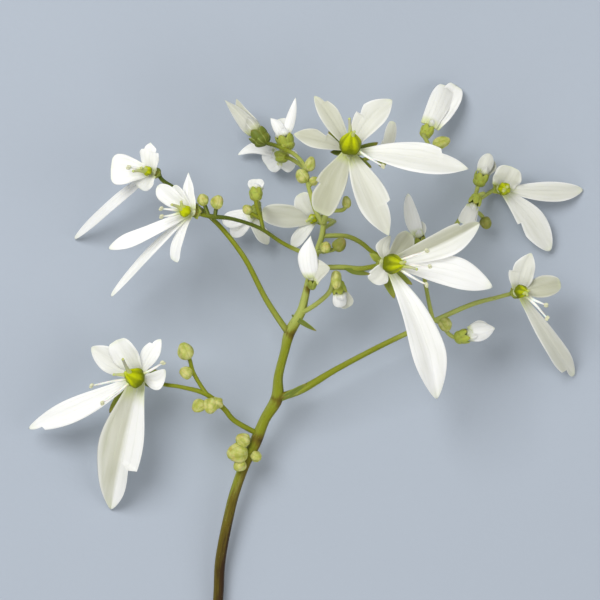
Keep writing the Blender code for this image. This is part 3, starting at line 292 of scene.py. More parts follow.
OPENINGS = [
    Opening("upper_left_opening_flower", (-5.2, 20.7, 7.2), (-8.9, 25.2, 5.2), 1.3, 0.1, [
        petal((-9.5, 25.15, 5.3), 2.0, 0.2, 0.5, 0.1, cup=-0.5, blunt=1.1, cream=0.7),
        petal((-8.0, 25.3, 4.8), 1.9, 0.2, 0.1, -0.35, cup=0.4, blunt=0.8, cream=0.8)]),
    Opening("top_opening_flower", (-1.9, 20.2, 7.6), (-2.7, 22.9, 7.4), 1.2, 0.8, [
        petal((-3.7, 22.8, 7.9), 1.5, 0.4, 0.3, 0.2, cup=-0.4, blunt=0.9),
        petal((-2.4, 22.8, 6.9), 2.2, 0.6, 0.1, cup=0.3, blunt=0.4, cream=0.3),
        petal((-0.55, 25.4, 7.2), 1.3, 0.3, 0.2, 0.1, cup=-0.3, blunt=0.8)]),
    Opening("back_opening_flower", (-2.4, 18.1, 4.6), (-3.9, 18.4, 1.4), 0.85, 0.8, [
        petal((-7.85, 18.3, 1.0), 1.7, 0.35, 0.0, 1.0, cup=0.1, blunt=0.7),
        petal((-4.3, 17.0, 2.0), 3.0, 0.6, 0.0, cup=0.1, blunt=0.4),
        petal((-0.5, 17.1, 2.2), 2.9, 0.6, 0.0, cup=0.1, blunt=0.4, cream=0.1)]),
    Opening("back_left_opening_flower", (-6.0, 10.9, 4.6), (-8.2, 8.4, 3.0), 0.8, 0.4, [
        petal((-9.8, 9.8, 3.2), 2.2, 0.6, 0.3, cup=0.1),
        petal((-8.6, 8.0, 2.6), 2.1, 0.6, 0.3, cup=0.1, cream=0.1),
        petal((-4.0, 7.0, 2.2), 1.7, 0.6, 0.3, cup=0.1, cream=0.6)]),
    Opening("upper_right_opening_flower", (16.1, 21.5, 4.0), (19.0, 27.1, 0.8), 0.85, 1.0, [
        petal((18.6, 27.05, 1.3), 2.9, 0.62, 0.4, cup=-0.25, blunt=0.22, cream=0.3),
        petal((19.75, 27.1, 0.8), 3.0, 0.55, 0.2, 0.2, cup=0.2, blunt=0.25, cream=0.15)]),
    Opening("behind_middle_opening_flower", (14.9, 7.6, 9.4), (13.5, 13.3, 9.8), 0.85, 0.4, [
        petal((13.5, 13.35, 10.0), 1.9, 0.35, 0.3, -0.25, cup=-0.4, blunt=0.6, cream=0.15),
        petal((15.0, 9.9, 9.0), 1.8, 0.5, 0.1, blunt=0.5, cream=0.5)]),
    Opening("behind_top_opening_flower", (10.4, 17.6, 13.4), (11.5, 22.3, 14.8), 0.55, 0.7, [
        petal((11.55, 22.3, 14.9), 1.5, 0.6, 0.3, 0.1, cup=-0.35, blunt=0.35, cream=0.7),
        petal((10.9, 20.4, 13.8), 1.3, 0.5, 0.1, cup=0.2, blunt=0.5, cream=0.8)]),
    Opening("far_right_opening_flower", (22.9, 15.6, 3.4), (24.1, 18.5, 3.2), 0.95, 0.8, [
        petal((23.9, 18.45, 3.4), 2.0, 0.4, 0.3, cup=-0.45, blunt=0.45, cream=0.55),
        petal((24.4, 17.6, 2.6), 1.9, 0.5, 0.1, cup=0.3, blunt=0.6, cream=0.8)]),
    Opening("far_right_white_bud", (21.9, 12.2, 5.4), (20.7, 9.5, 6.4), 0.8, 0.9, [
        petal((20.6, 9.5, 6.7), 2.1, 0.75, 0.2, cup=-0.4, blunt=0.35, cream=0.45),
        petal((21.1, 9.6, 5.9), 1.8, 0.75, 0.1, cup=0.3, blunt=0.4, cream=0.6)]),
    Opening("right_white_bud", (20.7, -4.5, 8.2), (24.4, -3.7, 8.0), 0.95, 1.0, [
        petal((24.45, -3.55, 8.1), 2.5, 0.35, 0.4, cup=-0.5, blunt=0.8, cream=0.1),
        petal((23.7, -3.2, 7.6), 2.3, 0.5, 0.1, cup=0.3, blunt=0.6, cream=0.3)]),
    Opening("front_opening_flower", (1.5, 2.35, 13.4), (1.4, 4.9, 14.0), 0.6, 0.4, [
        petal((1.35, 8.05, 15.2), 2.5, 0.45, 0.5, -0.5, cup=-0.35, blunt=1.15),
        petal((3.7, 4.1, 14.2), 2.9, 0.42, 0.2, -0.75, cup=-0.1, blunt=0.7, cream=0.7)]),
    Opening("left_opening_flower", (-5.5, 13.5, 13.4), (-5.5, 15.0, 12.2), 0.85, 0.9, [
        petal((-5.5, 15.1, 12.2), 2.1, 0.55, 0.0, cup=0.1, blunt=0.35, cream=0.2),
        petal((-4.8, 14.4, 12.0), 1.2, 0.5, 0.0, cup=0.1, blunt=0.5, cream=0.6)]),
    Opening("hanging_opening_flower", (4.9, 1.2, 11.1), (5.5, -1.1, 10.2), 0.95, 1.0, [
        petal((5.1, -0.95, 10.4), 1.8, 0.55, 0.2, cup=-0.4, blunt=0.3, cream=0.1),
        petal((6.1, -0.9, 9.6), 2.0, 0.55, 0.0, cup=0.2, blunt=0.35, cream=0.7)]),
]

# The longer sepals, which show between the petals: the bloom, their tip, width and how light they are,
# which is partly painted shade, darker where they lie in shade
LONG_SEPALS = [
    ("top_bloom", (3.5, 20.9, 20.9), 1.3, 0.3),
    ("top_bloom", (9.7, 19.5, 21.0), 1.2, 0.3),
    ("top_bloom", (8.9, 16.4, 20.6), 1.1, 0.3),
    ("middle_bloom", (11.75, 0.15, 15.0), 1.3, 0.6),
    ("middle_bloom", (14.0, 1.9, 15.6), 1.2, 0.6),
    ("lower_left_bloom", (-24.0, -14.2, 4.6), 2.0, 1.0),
]

# Closed buds: middle, direction of the tip, radius and length
BUDS = [
    ((-7.9, -19.2, 5.0), (-0.9, -0.2, 0.4), 1.35, 2.7),
    ((-7.2, -17.6, 5.4), (-0.7, 0.6, 0.4), 0.95, 1.9),
    ((-7.6, -20.8, 4.6), (-0.7, -0.7, 0.3), 0.85, 1.7),
    ((-5.5, -19.7, 4.3), (0.6, -0.4, 0.6), 0.75, 1.5),
    ((-10.4, -12.9, 7.4), (-0.2, 0.2, 1.0), 0.8, 1.6),
    ((-11.2, -13.3, 7.6), (-0.2, -0.8, 0.6), 1.0, 2.1),
    ((-12.7, -13.3, 7.3), (-0.7, -0.6, 0.3), 0.9, 1.9),
    ((-14.35, -6.4, 9.2), (-0.4, 0.9, 0.2), 1.05, 2.3),
    ((-14.3, -9.1, 8.3), (-0.8, 0.4, 0.3), 0.85, 1.7),
    ((-10.3, 12.2, 14.6), (0.3, 0.9, 0.3), 0.85, 1.8),
    ((-12.1, 12.5, 14.2), (-0.3, 0.8, 0.5), 0.75, 1.6),
    ((18.2, -3.1, 8.4), (0.4, -0.7, 0.5), 0.9, 1.9),
    ((-6.6, 11.3, 13.2), (-0.5, 0.6, 0.4), 0.65, 1.3),
    ((1.3, 17.0, 11.6), (0.2, 1.0, 0.0), 0.7, 1.9),
    ((0.3, 15.5, 11.4), (-0.5, 0.8, 0.1), 0.9, 1.9),
    ((1.75, 14.9, 11.8), (0.8, 0.5, 0.3), 0.6, 1.2),
    ((3.2, 6.6, 13.2), (0.1, 0.7, 0.6), 0.75, 1.5),
    ((4.95, 6.9, 12.8), (0.5, 0.8, 0.1), 0.9, 1.9),
    ((4.5, 2.5, 12.7), (0.0, -0.9, 0.4), 0.75, 2.5),
    ((17.7, 19.75, 9.0), (0.9, 0.3, 0.0), 0.85, 2.3),
    ((23.4, 9.7, 3.0), (0.4, -0.9, 0.0), 0.8, 1.6),
    ((5.8, 12.2, 13.0), (-0.1, 0.9, 0.2), 0.6, 1.6),
]

# The buds that are olive rather than pale, counted from 0
OLIVE_BUDS = (17, 20)

# Bracts at the forks: root, tip and width
BRACTS = [
    ((-1.0, -1.9, 7.5), (2.1, -3.9, 8.6), 0.7),
    ((-2.9, -12.8, 5.0), (0.9, -10.4, 6.5), 0.8),
    ((5.6, 3.9, 12.0), (8.8, 3.2, 13.6), 0.8),
]


# Shapes

def smooth_route(route, steps):
    """Points on a smooth curve through the route, each with the radius there."""
    ends = [route[0], *route, route[-1]]
    points = []
    for before, start, end, after in zip(ends, ends[1:], ends[2:], ends[3:]):
        for step in range(steps):
            t = step / steps
            points.append([0.5 * (2 * b + (c - a) * t + (2 * a - 5 * b + 4 * c - d) * t * t
                                  + (3 * b - a - 3 * c + d) * t ** 3)
                           for a, b, c, d in zip(before, start, end, after)])
    points.append(route[-1])
    return [(Vector(point[:3]), point[3]) for point in points]


def frame_of(axis):
    """Three directions at right angles, the last along the axis."""
    axis = Vector(axis).normalized()
    across = axis.orthogonal().normalized()
    return across, axis.cross(across), axis


def spoke(across, up, angle):
    """The direction at an angle in the plane of two others."""
    return across * math.cos(angle) + up * math.sin(angle)


def hill(value, middle, width):
    """A smooth rise to 1 at a place, as wide as given."""
    return math.exp(-((value - middle) / width) ** 2)


def step_up(value, low, high):
    """0 below low, 1 above high and a smooth rise between."""
    share = min(1.0, max(0.0, (value - low) / (high - low)))
    return share * share * (3.0 - 2.0 * share)


def dents(angle, share, fineness, place):
    """Uneven dents in a round form, from -1 to 1, which differ from place to place."""
    return noise.noise(Vector((math.cos(angle), math.sin(angle), 2.0 * share)) * fineness + Vector(place))


class Skin:
    """The closed forms of one piece: points in millimetres, faces, and what each finish reads there."""

    def __init__(self):
        self.spots = []
        self.faces = []
        self.kinds = []
        self.notes = {"along": [], "across": [], "tone": []}
        self.grain = []

    def point(self, spot, along, across, tone, grain):
        self.spots.append(spot)
        for values, value in zip(self.notes.values(), (along, across, tone)):
            values.append(value)
        self.grain.append(grain)
        return len(self.spots) - 1

    def loft(self, rings, kind, start, end):
        """A closed form through rings of as many points, which draws together at a point at each end."""
        count = len(rings[0])
        first = len(self.spots)
        last = first + (len(rings) - 1) * count
        for ring in rings:
            for spot in ring:
                self.point(*spot)
        foot = self.point(*start)
        head = self.point(*end)
        pairs = [(k, (k + 1) % count) for k in range(count)]
        faces = []
        for low in range(first, last, count):
            high = low + count
            faces += [(low + k, low + after, high + after, high + k) for k, after in pairs]
        faces += [(first + after, first + k, foot) for k, after in pairs]
        faces += [(last + k, last + after, head) for k, after in pairs]
        self.faces += faces
        self.kinds += [kind] * len(faces)

    def build(self, name, finishes, nodes):
        """The piece as one mesh object, which rides with the part and stands for its solids."""
        mesh = bpy.data.meshes.new(name)
        mesh.from_pydata([(spot - OUTLINE_MIDDLE) * MM for spot in self.spots], [], self.faces)
        for label, values in self.notes.items():
            mesh.attributes.new(label, "FLOAT", "POINT").data.foreach_set("value", values)
        flat = [number for grain in self.grain for number in grain]
        mesh.attributes.new("grain", "FLOAT_VECTOR", "POINT").data.foreach_set("vector", flat)
        for finish in finishes:
            mesh.materials.append(finish)
        mesh.polygons.foreach_set("material_index", self.kinds)
        work = bmesh.new()
        work.from_mesh(mesh)
        bmesh.ops.recalc_face_normals(work, faces=work.faces)
        work.to_mesh(mesh)
        work.free()
        mesh.shade_smooth()
        obj = bpy.data.objects.new(name, mesh)
        bpy.context.scene.collection.objects.link(obj)
        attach(obj, "root")
        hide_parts(*nodes)


def paleness(spot):
    """How pale a stalk is at a place: 1 towards the right of the spray, -1 on the dark stalks at its
    upper left."""
    right = step_up(spot.x, 8.0, 20.0)
    middle = 0.8 * hill(spot.x, 2.0, 6.0) * step_up(spot.y, -7.0, -1.0)
    dark = max(hill(spot.y + 0.575 * spot.x, 5.4, 1.8), step_up(spot.y, 14.5, 16.0))
    return max(right, middle) - step_up(-spot.x, 0.0, 3.5) * dark


def tube(skin, route, grid, kind, tone_at, ridge=0.0, side_shade=0.0):
    """A round stalk along a smooth route, with shallow ridges along it. Its finish reads as its place
    across how pale it is. With a side shade, its right flank is painted darker and browner, as shade,
    and its left flank paler and greener, as a highlight."""
    sides, steps = grid
    points = smooth_route(route, steps)
    across = (points[1][0] - points[0][0]).normalized().orthogonal()
    rings = []
    run = 0.0
    for index, (spot, radius) in enumerate(points):
        before = points[max(0, index - 1)][0]
        after = points[min(len(points) - 1, index + 1)][0]
        along = (after - before).normalized()
        across = (across - along * across.dot(along)).normalized()
        up = along.cross(across)
        run += (spot - before).length
        shade = paleness(spot)
        tone = tone_at(spot)
        ring = []
        for side in range(sides):
            angle = math.tau * side / sides
            out = spoke(across, up, angle)
            place = spot + out * radius * (1.0 + ridge * math.cos(FIVE * angle))
            place.z = max(place.z, 0.0)
            grain = (math.cos(angle) * radius, math.sin(angle) * radius, run * GRAIN_SHARE)
            # Painted shade on the right flank and a painted highlight on the left one: darker and browner
            # to the right, paler and greener to the left
            ring.append((place, run, shade - FLANK_SHADE * side_shade * out.x, tone + side_shade * out.x, grain))
        rings.append(ring)
    ends = []
    for (spot, _), run in ((points[0], 0.0), (points[-1], run)):
        ends.append((spot, run, 0.0, tone_at(spot), (0.0, 0.0, run * GRAIN_SHARE)))
    skin.loft(rings, kind, *ends)


def turned(skin, middle, axis, radius_at, low, high, grid, kind, tone):
    """A closed round form along an axis, whose radius is a function of height and angle."""
    sides, rings = grid
    across, up, along = frame_of(axis)
    middle = Vector(middle)

    def note(share, angle, flat):
        radius = flat * radius_at(share, angle)
        spot = middle + spoke(across, up, angle) * radius + along * (low + (high - low) * share)
        spot.z = max(spot.z, 0.0)
        return spot, share, math.cos(FIVE * angle), tone, tuple(spot)

    lofted = []
    for ring in range(1, rings):
        turn = math.pi * ring / rings
        share = (1.0 - math.cos(turn)) / 2.0
        lofted.append([note(share, math.tau * side / sides, math.sin(turn)) for side in range(sides)])
    skin.loft(lofted, kind, note(0.0, 0.0, 0.0), note(1.0, 0.0, 0.0))


def outline(shape, along):
    """Half the width of a blade at a place along it, as a share of its greatest half width."""
    if along < shape.widest:
        grown = math.sin(math.pi / 2 * along / shape.widest) ** 1.3
        return shape.foot + (1.0 - shape.foot) * grown
    left = max(0.0, math.cos(math.pi / 2 * (along - shape.widest) / (1.0 - shape.widest)))
    return left ** shape.blunt


def notch(shape, along, side):
    """What a blade's teeth leave of its width on one side."""
    left = 1.0
    for tooth in shape.teeth:
        past = along - tooth.along
        if tooth.side == side and 0.0 < past < tooth.reach:
            left *= 1.0 - tooth.depth * (1.0 - past / tooth.reach)
    return left


def blade(skin, base, shape, facing, thickness, draw, kind, grid, waves, tone=None):
    """A petal, sepal or bract: thin at its edges, channelled along its middle and gently waved."""
    rows, columns = grid
    base = Vector(base)
    chord = shape.tip - base
    along = chord.normalized()
    face = (Vector(facing) - along * Vector(facing).dot(along)).normalized()
    side = along.cross(face)
    phases = [draw.uniform(0.0, math.tau) for _ in range(4)]
    tone = draw.random() if tone is None else tone
    # A pair of tones paints shade on the half of a folded petal that turns away from the light
    left, right = tone if isinstance(tone, tuple) else (tone, tone)
    twist = draw.uniform(-TWIST, TWIST) * waves

    # Rows crowd towards the tip, and each tooth has its own two
    places = [s * (1.2 - 0.2 * s) for s in (row / rows for row in range(rows))]
    for tooth in shape.teeth:
        places = [s for s in places if abs(s - tooth.along) > TOOTH_STEP]
        places += [tooth.along, tooth.along + TOOTH_STEP]
    # Columns crowd towards the edges
    levels = [2.0 * column / columns - 1.0 for column in range(columns + 1)]
    levels = [math.sin(math.pi / 2 * t) * 0.6 + t * 0.4 for t in levels]

    def note(share, t, gap):
        arch = 4.0 * share * (1.0 - share)
        middle = base + chord * share + (face * shape.bow + side * shape.sway) * arch
        half = shape.width / 2 * outline(shape, share)
        way, wobble, wave = (1, phases[0], phases[2]) if t > 0 else (-1, phases[1], phases[3])
        reach = half * notch(shape, share, way)
        reach *= 1.0 + EDGE_WOBBLE * waves * math.sin(WOBBLES * share + wobble)
        edge = abs(t)
        lift = half * (shape.cup * edge ** 1.1 + twist * share * t)
        lift += waves * half * EDGE_LIFT * edge ** 3 * math.sin(LIFTS * share + wave)
        lift -= waves * CHANNEL_DEPTH * hill(t, 0.0, CHANNEL_WIDTH) * arch
        spot = middle + side * t * reach + face * (lift + gap)
        spot.z = max(spot.z, BLADE_CLEARANCE)
        shade = left + (right - left) * step_up(t, -TONE_BLEND, TONE_BLEND)
        return spot, share, t, shade, (t * reach, gap, share * chord.length * GRAIN_SHARE)

    rings = []
    for share in sorted(places):
        slim = thickness / 2 * (1.0 - (1.0 - TIP_SHARE) * share)
        gaps = [slim * math.sqrt(max(0.0, 1.0 - t ** 4)) for t in levels]
        top = [note(share, t, gap) for t, gap in zip(levels, gaps)]
        under = [note(share, t, -gap) for t, gap in zip(levels, gaps)]
        rings.append(top + under[-2:0:-1])
    skin.loft(rings, kind, note(0.0, 0.0, 0.0), note(1.0, 0.0, 0.0))


# Places on the plant

def dome_depth(bloom):
    """How far a bloom's ovary reaches below its middle."""
    return 0.88 * bloom.ovary


def hub_radius(bloom):
    """The radius of the small disc where a bloom's petals meet."""
    return 0.5 * bloom.ovary + 0.2


def hub_middle(bloom):
    """Where a bloom's petals meet, below its ovary."""
    depth = dome_depth(bloom) + NODE_GAP + HUB_DEPTH / 2
    return Vector(bloom.heart) - Vector(bloom.facing).normalized() * depth


def in_cup(bloom, depth):
    """A point on the axis of the green cup that carries a bloom's petals, at a depth below its top."""
    return hub_middle(bloom) - Vector(bloom.facing).normalized() * (HUB_DEPTH / 2 + NODE_GAP + depth)


def sepal_turn(bloom):
    """The angle of a bloom's first sepal about the axis of its cup."""
    across, up, _ = frame_of(bloom.facing)
    first = spoke(Vector((1.0, 0.0, 0.0)), Vector((0.0, 1.0, 0.0)), math.radians(bloom.first_sepal))
    return math.atan2(first.dot(up), first.dot(across))


def opening_cup_depth(flower):
    """How deep the green cup of a half-open flower is."""
    return min(1.3, 0.3 + 0.9 * flower.body)


def cup_end(flower):
    """Where the stalk of a half-open flower ends, inside its cup."""
    cup = Vector(flower.cup)
    axis = (Vector(flower.tip) - cup).normalized()
    return cup - axis * (NODE_GAP + opening_cup_depth(flower) - STALK_INSET)


def on_axis(y, radius=BRANCH_RADIUS):
    """A point on the middle line of the main stalk, at a place up the stem."""
    for low, high in zip(AXIS, AXIS[1:]):
        if low[1] <= y <= high[1]:
            share = (y - low[1]) / (high[1] - low[1])
            return (*(a + (b - a) * share for a, b in zip(low[:3], high[:3])), radius)
    raise ValueError(y)


def stalk_age(spot):
    """How old and brown a stalk is at a place: 0.9 at the cut end, 0.12 at the top, more at a node."""
    low = 1.0 - step_up(spot.y, -36.0, -10.0)
    beside = Vector(on_axis(min(STALK_STRETCH[1], max(STALK_STRETCH[0], spot.y)))[:3])
    near = min(1.0, 6.0 / (4.0 + (spot - beside).length ** 2))
    ring = max(hill(spot.y, y, 0.55) for y in STALK_NODES) * near
    return min(1.0, 0.12 + 0.78 * low + 0.5 * ring)


def branch_routes():
    """The routes of the branches and thin stalks: x, y, z and, where a stalk isn't thin, its radius."""
    foot = {bloom.name: in_cup(bloom, CUP_DEPTH - STALK_INSET) for bloom in BLOOMS}
    foot.update({flower.name: cup_end(flower) for flower in OPENINGS})
    routes = [
        # The lower left branch, which carries a bloom and two groups of buds
        [on_axis(-16.9), (-8.2, -15.2, 5.4, BRANCH_RADIUS), (-9.6, -13.6, 6.5, BRANCH_RADIUS),
         (-11.9, -11.75, 7.2, 0.32), (-15.0, -10.9, 7.0), (-17.4, -10.5, 6.2), foot["lower_left_bloom"]],
        [(-9.9, -13.3, 6.5), (-11.2, -13.2, 7.1, BRANCH_RADIUS), (-12.7, -13.2, 7.2)],
        [(-11.6, -11.9, 7.1), (-12.4, -10.8, 7.5), (-13.4, -9.0, 8.1), (-13.8, -7.5, 8.7),
         (-14.2, -6.7, 9.0)],
        [(-13.2, -9.3, 8.0), (-14.0, -9.15, 8.2)],
        # The right branch, which carries the right bloom, a white bud, a green bud and a stalk that
        # goes up behind the middle bloom
        [on_axis(-12.3, 0.5), (0.3, -11.2, 5.9, 0.5), (4.7, -8.6, 7.0, 0.38), (10.6, -5.5, 8.0, 0.34),
         (16.9, -2.55, 8.4, 0.32), (21.5, -0.55, 8.2, 0.3), (24.6, 0.3, 7.9), foot["right_bloom"]],
        [(16.9, -2.55, 8.4), (17.7, -3.0, 8.4), (18.7, -4.3, 8.2), foot["right_white_bud"]],
        [(16.7, -2.6, 8.4), (16.2, -0.5, 8.7), (15.7, 2.1, 9.0), (15.3, 4.4, 9.2),
         foot["behind_middle_opening_flower"]],
        # The long left branch, which carries the far left bloom
        [on_axis(-4.3, 0.42), (-4.2, 0.0, 9.0, 0.36), (-6.9, 5.2, 10.6, 0.33), (-9.9, 9.1, 11.4, 0.3),
         (-12.6, 11.5, 11.2), (-15.6, 13.9, 10.2), (-17.2, 15.0, 8.9), foot["far_left_bloom"]],
        # The upper left branch, which carries the left bloom, two groups of buds and a flower behind
        [on_axis(5.3, 0.3), (-1.8, 6.9, 11.9, 0.26), (-5.1, 9.0, 12.8, 0.24), (-8.4, 10.1, 13.6, 0.24),
         (-10.9, 10.4, 13.8, 0.3), (-12.4, 10.7, 13.2), foot["left_bloom"]],
        [(-4.6, 8.8, 12.6), (-4.9, 10.2, 13.0), (-5.4, 11.7, 13.8), foot["left_opening_flower"]],
        [(-5.0, 10.2, 13.0), (-6.4, 11.0, 13.1)],
        [(-10.6, 10.4, 13.8), (-10.4, 11.8, 14.4)],
        [(-11.4, 10.5, 13.7), (-12.0, 12.2, 14.1)],
        [(-4.9, 10.1, 13.0), (-5.1, 11.6, 9.0), (-5.2, 12.2, 6.2), foot["back_left_opening_flower"]],
        # The branch of the middle bloom
        [on_axis(4.0), (5.1, 4.1, 11.4, 0.34), (7.4, 3.9, 13.2, 0.34), (9.2, 4.2, 14.6, 0.3),
         foot["middle_bloom"]],
        # The long branch behind, which carries the far right bloom and its buds
        [on_axis(8.0, 0.3), (5.7, 8.0, 10.6, 0.3), (7.6, 7.2, 10.0, 0.3), (9.6, 5.7, 9.2, 0.28),
         (12.8, 4.7, 8.2, 0.28), (16.4, 6.0, 6.8, 0.28), (19.2, 8.9, 5.0, 0.28), (21.2, 11.6, 3.2, 0.28),
         (23.2, 13.1, 1.8), foot["far_right_bloom"]],
        [(22.4, 12.6, 2.4), (23.1, 13.4, 3.9), foot["far_right_white_bud"]],
        [(21.2, 11.6, 3.3), (22.0, 13.0, 3.2), foot["far_right_opening_flower"]],
        [(21.3, 11.4, 3.2), (22.6, 10.9, 3.0), (23.2, 10.1, 3.0)],
        # The top: the stalk of the top bloom, with a branch to the right below its long petal
        [AXIS[-1], (3.6, 12.0, 14.6, 0.34), (4.9, 15.6, 18.2, 0.3), foot["top_bloom"]],
        [(3.8, 12.6, 15.2), (5.4, 15.6, 14.6), (8.5, 17.7, 12.8), (12.4, 17.4, 11.0), (15.4, 17.6, 9.4),
         (16.2, 19.0, 7.4), (15.6, 20.6, 5.4), foot["upper_right_opening_flower"]],
        [(15.9, 18.3, 8.6), (17.4, 19.6, 9.0)],
        [(9.8, 17.7, 12.2), (10.0, 17.0, 12.6), foot["behind_top_opening_flower"]],
        [(3.4, 11.2, 13.8), (5.2, 11.2, 13.2), (5.8, 11.8, 13.0)],
        # The top left stalk, which carries three buds and three half-open flowers
        [on_axis(9.3, 0.32), (1.9, 11.3, 12.0, 0.3), (1.4, 13.0, 11.8, 0.28), (1.0, 14.4, 11.4),
         (0.7, 16.2, 11.0), (0.3, 17.2, 10.4), (-0.8, 18.3, 9.4), (-2.6, 19.2, 8.2),
         foot["upper_left_opening_flower"]],
        [(0.7, 16.0, 11.0), (1.2, 16.6, 11.5)],
        [(1.1, 14.2, 11.4), (1.7, 14.8, 11.7)],
        [(-1.2, 18.5, 9.1), (-1.9, 18.8, 8.4), foot["top_opening_flower"]],
        [(0.7, 15.6, 11.1), (0.4, 16.6, 8.0), (-0.9, 17.6, 6.4), foot["back_opening_flower"]],
        # The flower that hangs behind the top of the main stalk
        [on_axis(8.9, STALK_RADIUS), (4.1, 9.7, 9.2), (4.2, 9.9, 6.2), (3.6, 10.1, 4.2),
         foot["back_bloom"]],
        # The small stalks at the front of the main stalk, with their buds
        [on_axis(2.2, STALK_RADIUS), (1.3, 1.9, 11.4), foot["front_opening_flower"]],
        [on_axis(5.9, STALK_RADIUS), (3.0, 6.2, 12.4), (3.2, 6.5, 13.0)],
        [(2.8, 6.0, 11.8), (4.2, 6.3, 12.4), (4.8, 6.7, 12.7)],
        [on_axis(-1.7, 0.3), (1.9, -0.6, 9.6, 0.3), (3.6, 0.9, 11.4, 0.3), (4.1, 2.2, 12.6, 0.3)],
        [(3.4, 0.7, 11.2), (4.4, 1.9, 11.4), foot["hanging_opening_flower"]],
    ]
    return [[(*place, STALK_RADIUS)[:4] for place in route] for route in routes]


# Finishes

class Finish:
    """The nodes of one material, built up from its shader."""

    def __init__(self, name, **constants):
        self.material = bpy.data.materials.new(name)
        self.material.use_nodes = True
        self.tree = self.material.node_tree
        self.shader = self.tree.nodes["Principled BSDF"]
        for label, value in constants.items():
            self.shader.inputs[label.replace("_", " ")].default_value = value

    def feed(self, socket, value):
        if isinstance(value, bpy.types.NodeSocket):
            self.tree.links.new(value, socket)
        elif socket.type == "RGBA":
            socket.default_value = (*value, 1.0)
        else:
            socket.default_value = value

    def add(self, kind, inputs, **settings):
        """A new node's outputs, with its settings made and its inputs fed."""
        node = self.tree.nodes.new("ShaderNode" + kind)
        for label, value in settings.items():
            setattr(node, label, value)
        for label, value in inputs.items():
            self.feed(node.inputs[label], value)
        return node.outputs

    def note(self, name, output="Fac"):
        """What the mesh notes under a name at each point."""
        return self.add("Attribute", {}, attribute_name=name)[output]

    def maths(self, operation, first, second=0.0):
        return self.add("Math", {0: first, 1: second}, operation=operation)[0]

    def plus(self, first, second):
        return self.maths("ADD", first, second)

    def less(self, first, second):
        return self.maths("SUBTRACT", first, second)

    def times(self, first, second):
        return self.maths("MULTIPLY", first, second)

    def sway(self, value, reach):
        """A value around a half, made one around 0 that reaches as far as given."""
        return self.times(self.less(value, 0.5), reach)

    def span(self, value, ends, interpolation):
        """A value drawn from its two ends to two others."""
        return self.add("MapRange", dict(enumerate((value, *ends))), interpolation_type=interpolation)[0]

    def rise(self, value, low, high, top=1.0):
        """0 where the value is below low, top where it is past high."""
        return self.span(value, (low, high, 0.0, top), "SMOOTHSTEP")

    def noise(self, scale, detail=3.0, roughness=0.55, grain=None):
        inputs = {"Vector": grain or self.note("grain", "Vector"), "Scale": scale, "Detail": detail,
                  "Roughness": roughness}
        return self.add("TexNoise", inputs)["Fac"]

    def mix(self, share, low, high):
        """A colour between two: the first where the share is 0, the second where it is 1."""
        return self.add("Mix", {0: share, 6: low, 7: high}, data_type="RGBA")[2]

    def colour(self, value):
        self.feed(self.shader.inputs["Base Color"], value)

    def rough(self, low, high, scale):
        """Roughness that goes from low to high with a fine noise."""
        self.feed(self.shader.inputs["Roughness"],
                  self.span(self.noise(scale), (0.3, 0.7, low, high), "LINEAR"))

    def bump(self, height, depth):
        """Relief as deep as given, in millimetres, where the height goes from 0 to 1."""
        relief = self.add("Bump", {"Distance": depth * MM, "Height": height})[0]
        self.feed(self.shader.inputs["Normal"], relief)


def petal_finish(colours):
    """Petal: white to greenish beige, partly its own cream and partly painted shade, with white margins,
    fine veins, a lime foot, a faintly green tip.
    """
    made = Finish("petal_white", Subsurface_Weight=0.2, Subsurface_Scale=0.0006,
                  Subsurface_Radius=(1.0, 0.95, 0.75), Specular_IOR_Level=0.35)
    along = made.note("along")
    across = made.note("across")
    streak = made.noise(5.0, 4.0)
    line = made.plus(made.times(across, 2.5 * math.pi), made.times(streak, 1.4))
    vein = made.rise(made.maths("ABSOLUTE", made.maths("SINE", line)), 0.3, 0.0)
    vein = made.times(vein, made.rise(along, 0.98, 0.55))
    # Each petal's tone holds its own cream together with its painted shade
    cream = made.plus(made.note("tone"), made.sway(made.noise(0.8, 2.0), 0.7))
    margin = made.rise(made.maths("ABSOLUTE", across), 0.75, 1.0, 0.35)
    colour = made.mix(made.less(cream, margin), colours.petal_white, colours.petal_cream_and_shade)
    colour = made.mix(made.times(vein, 0.16), colour, colours.petal_vein)
    foot = made.times(made.rise(along, 0.2, 0.03), made.plus(made.rise(streak, 0.3, 0.7, 0.4), 0.4))
    colour = made.mix(foot, colour, colours.petal_foot)
    made.colour(made.mix(made.rise(along, 0.88, 1.0, 0.35), colour, colours.petal_tip))
    made.rough(0.45, 0.62, 9.0)
    made.bump(made.less(made.times(made.noise(16.0, 2.0), 0.3), made.times(vein, 0.4)), 0.05)
    return made.material


def ovary_finish(colours):
    """Lime ovary, with a painted highlight above and along its ridges and painted shade towards its foot
    and in its faint furrows.
    """
    made = Finish("ovary_lime", Subsurface_Weight=0.1, Subsurface_Scale=0.0005,
                  Subsurface_Radius=(0.9, 1.0, 0.1), Specular_IOR_Level=0.12)
    # Painted highlight on the top and the ridges, painted shade in the furrows and towards the foot
    ridge = made.rise(made.note("across"), -1.0, 0.6, 0.7)
    height = made.rise(made.note("along"), 0.1, 0.75, 0.75)
    light = made.plus(made.times(ridge, height), height)
    light = made.plus(light, made.sway(made.noise(3.0), 0.6))
    # Each bloom's tone brightens or darkens its ovary, partly as painted light
    light = made.plus(light, made.less(made.note("tone"), 0.6))
    colour = made.mix(light, colours.ovary_furrow_shade, colours.ovary_lime)
    made.colour(made.mix(made.rise(made.note("along"), 0.86, 1.0, 0.5), colour, colours.style_green))
    made.rough(0.35, 0.55, 8.0)
    made.bump(made.noise(7.0, 4.0), 0.06)
    return made.material


def style_finish(colours):
    """Yellow-green style, creamy towards its tip."""
    made = Finish("style_pale_green", Subsurface_Weight=0.15, Subsurface_Scale=0.0004)
    made.colour(made.mix(made.rise(made.note("along"), 0.0, 2.6), colours.style_green, colours.petal_cream_and_shade))
    made.rough(0.4, 0.55, 10.0)
    made.bump(made.noise(9.0), 0.02)
    return made.material


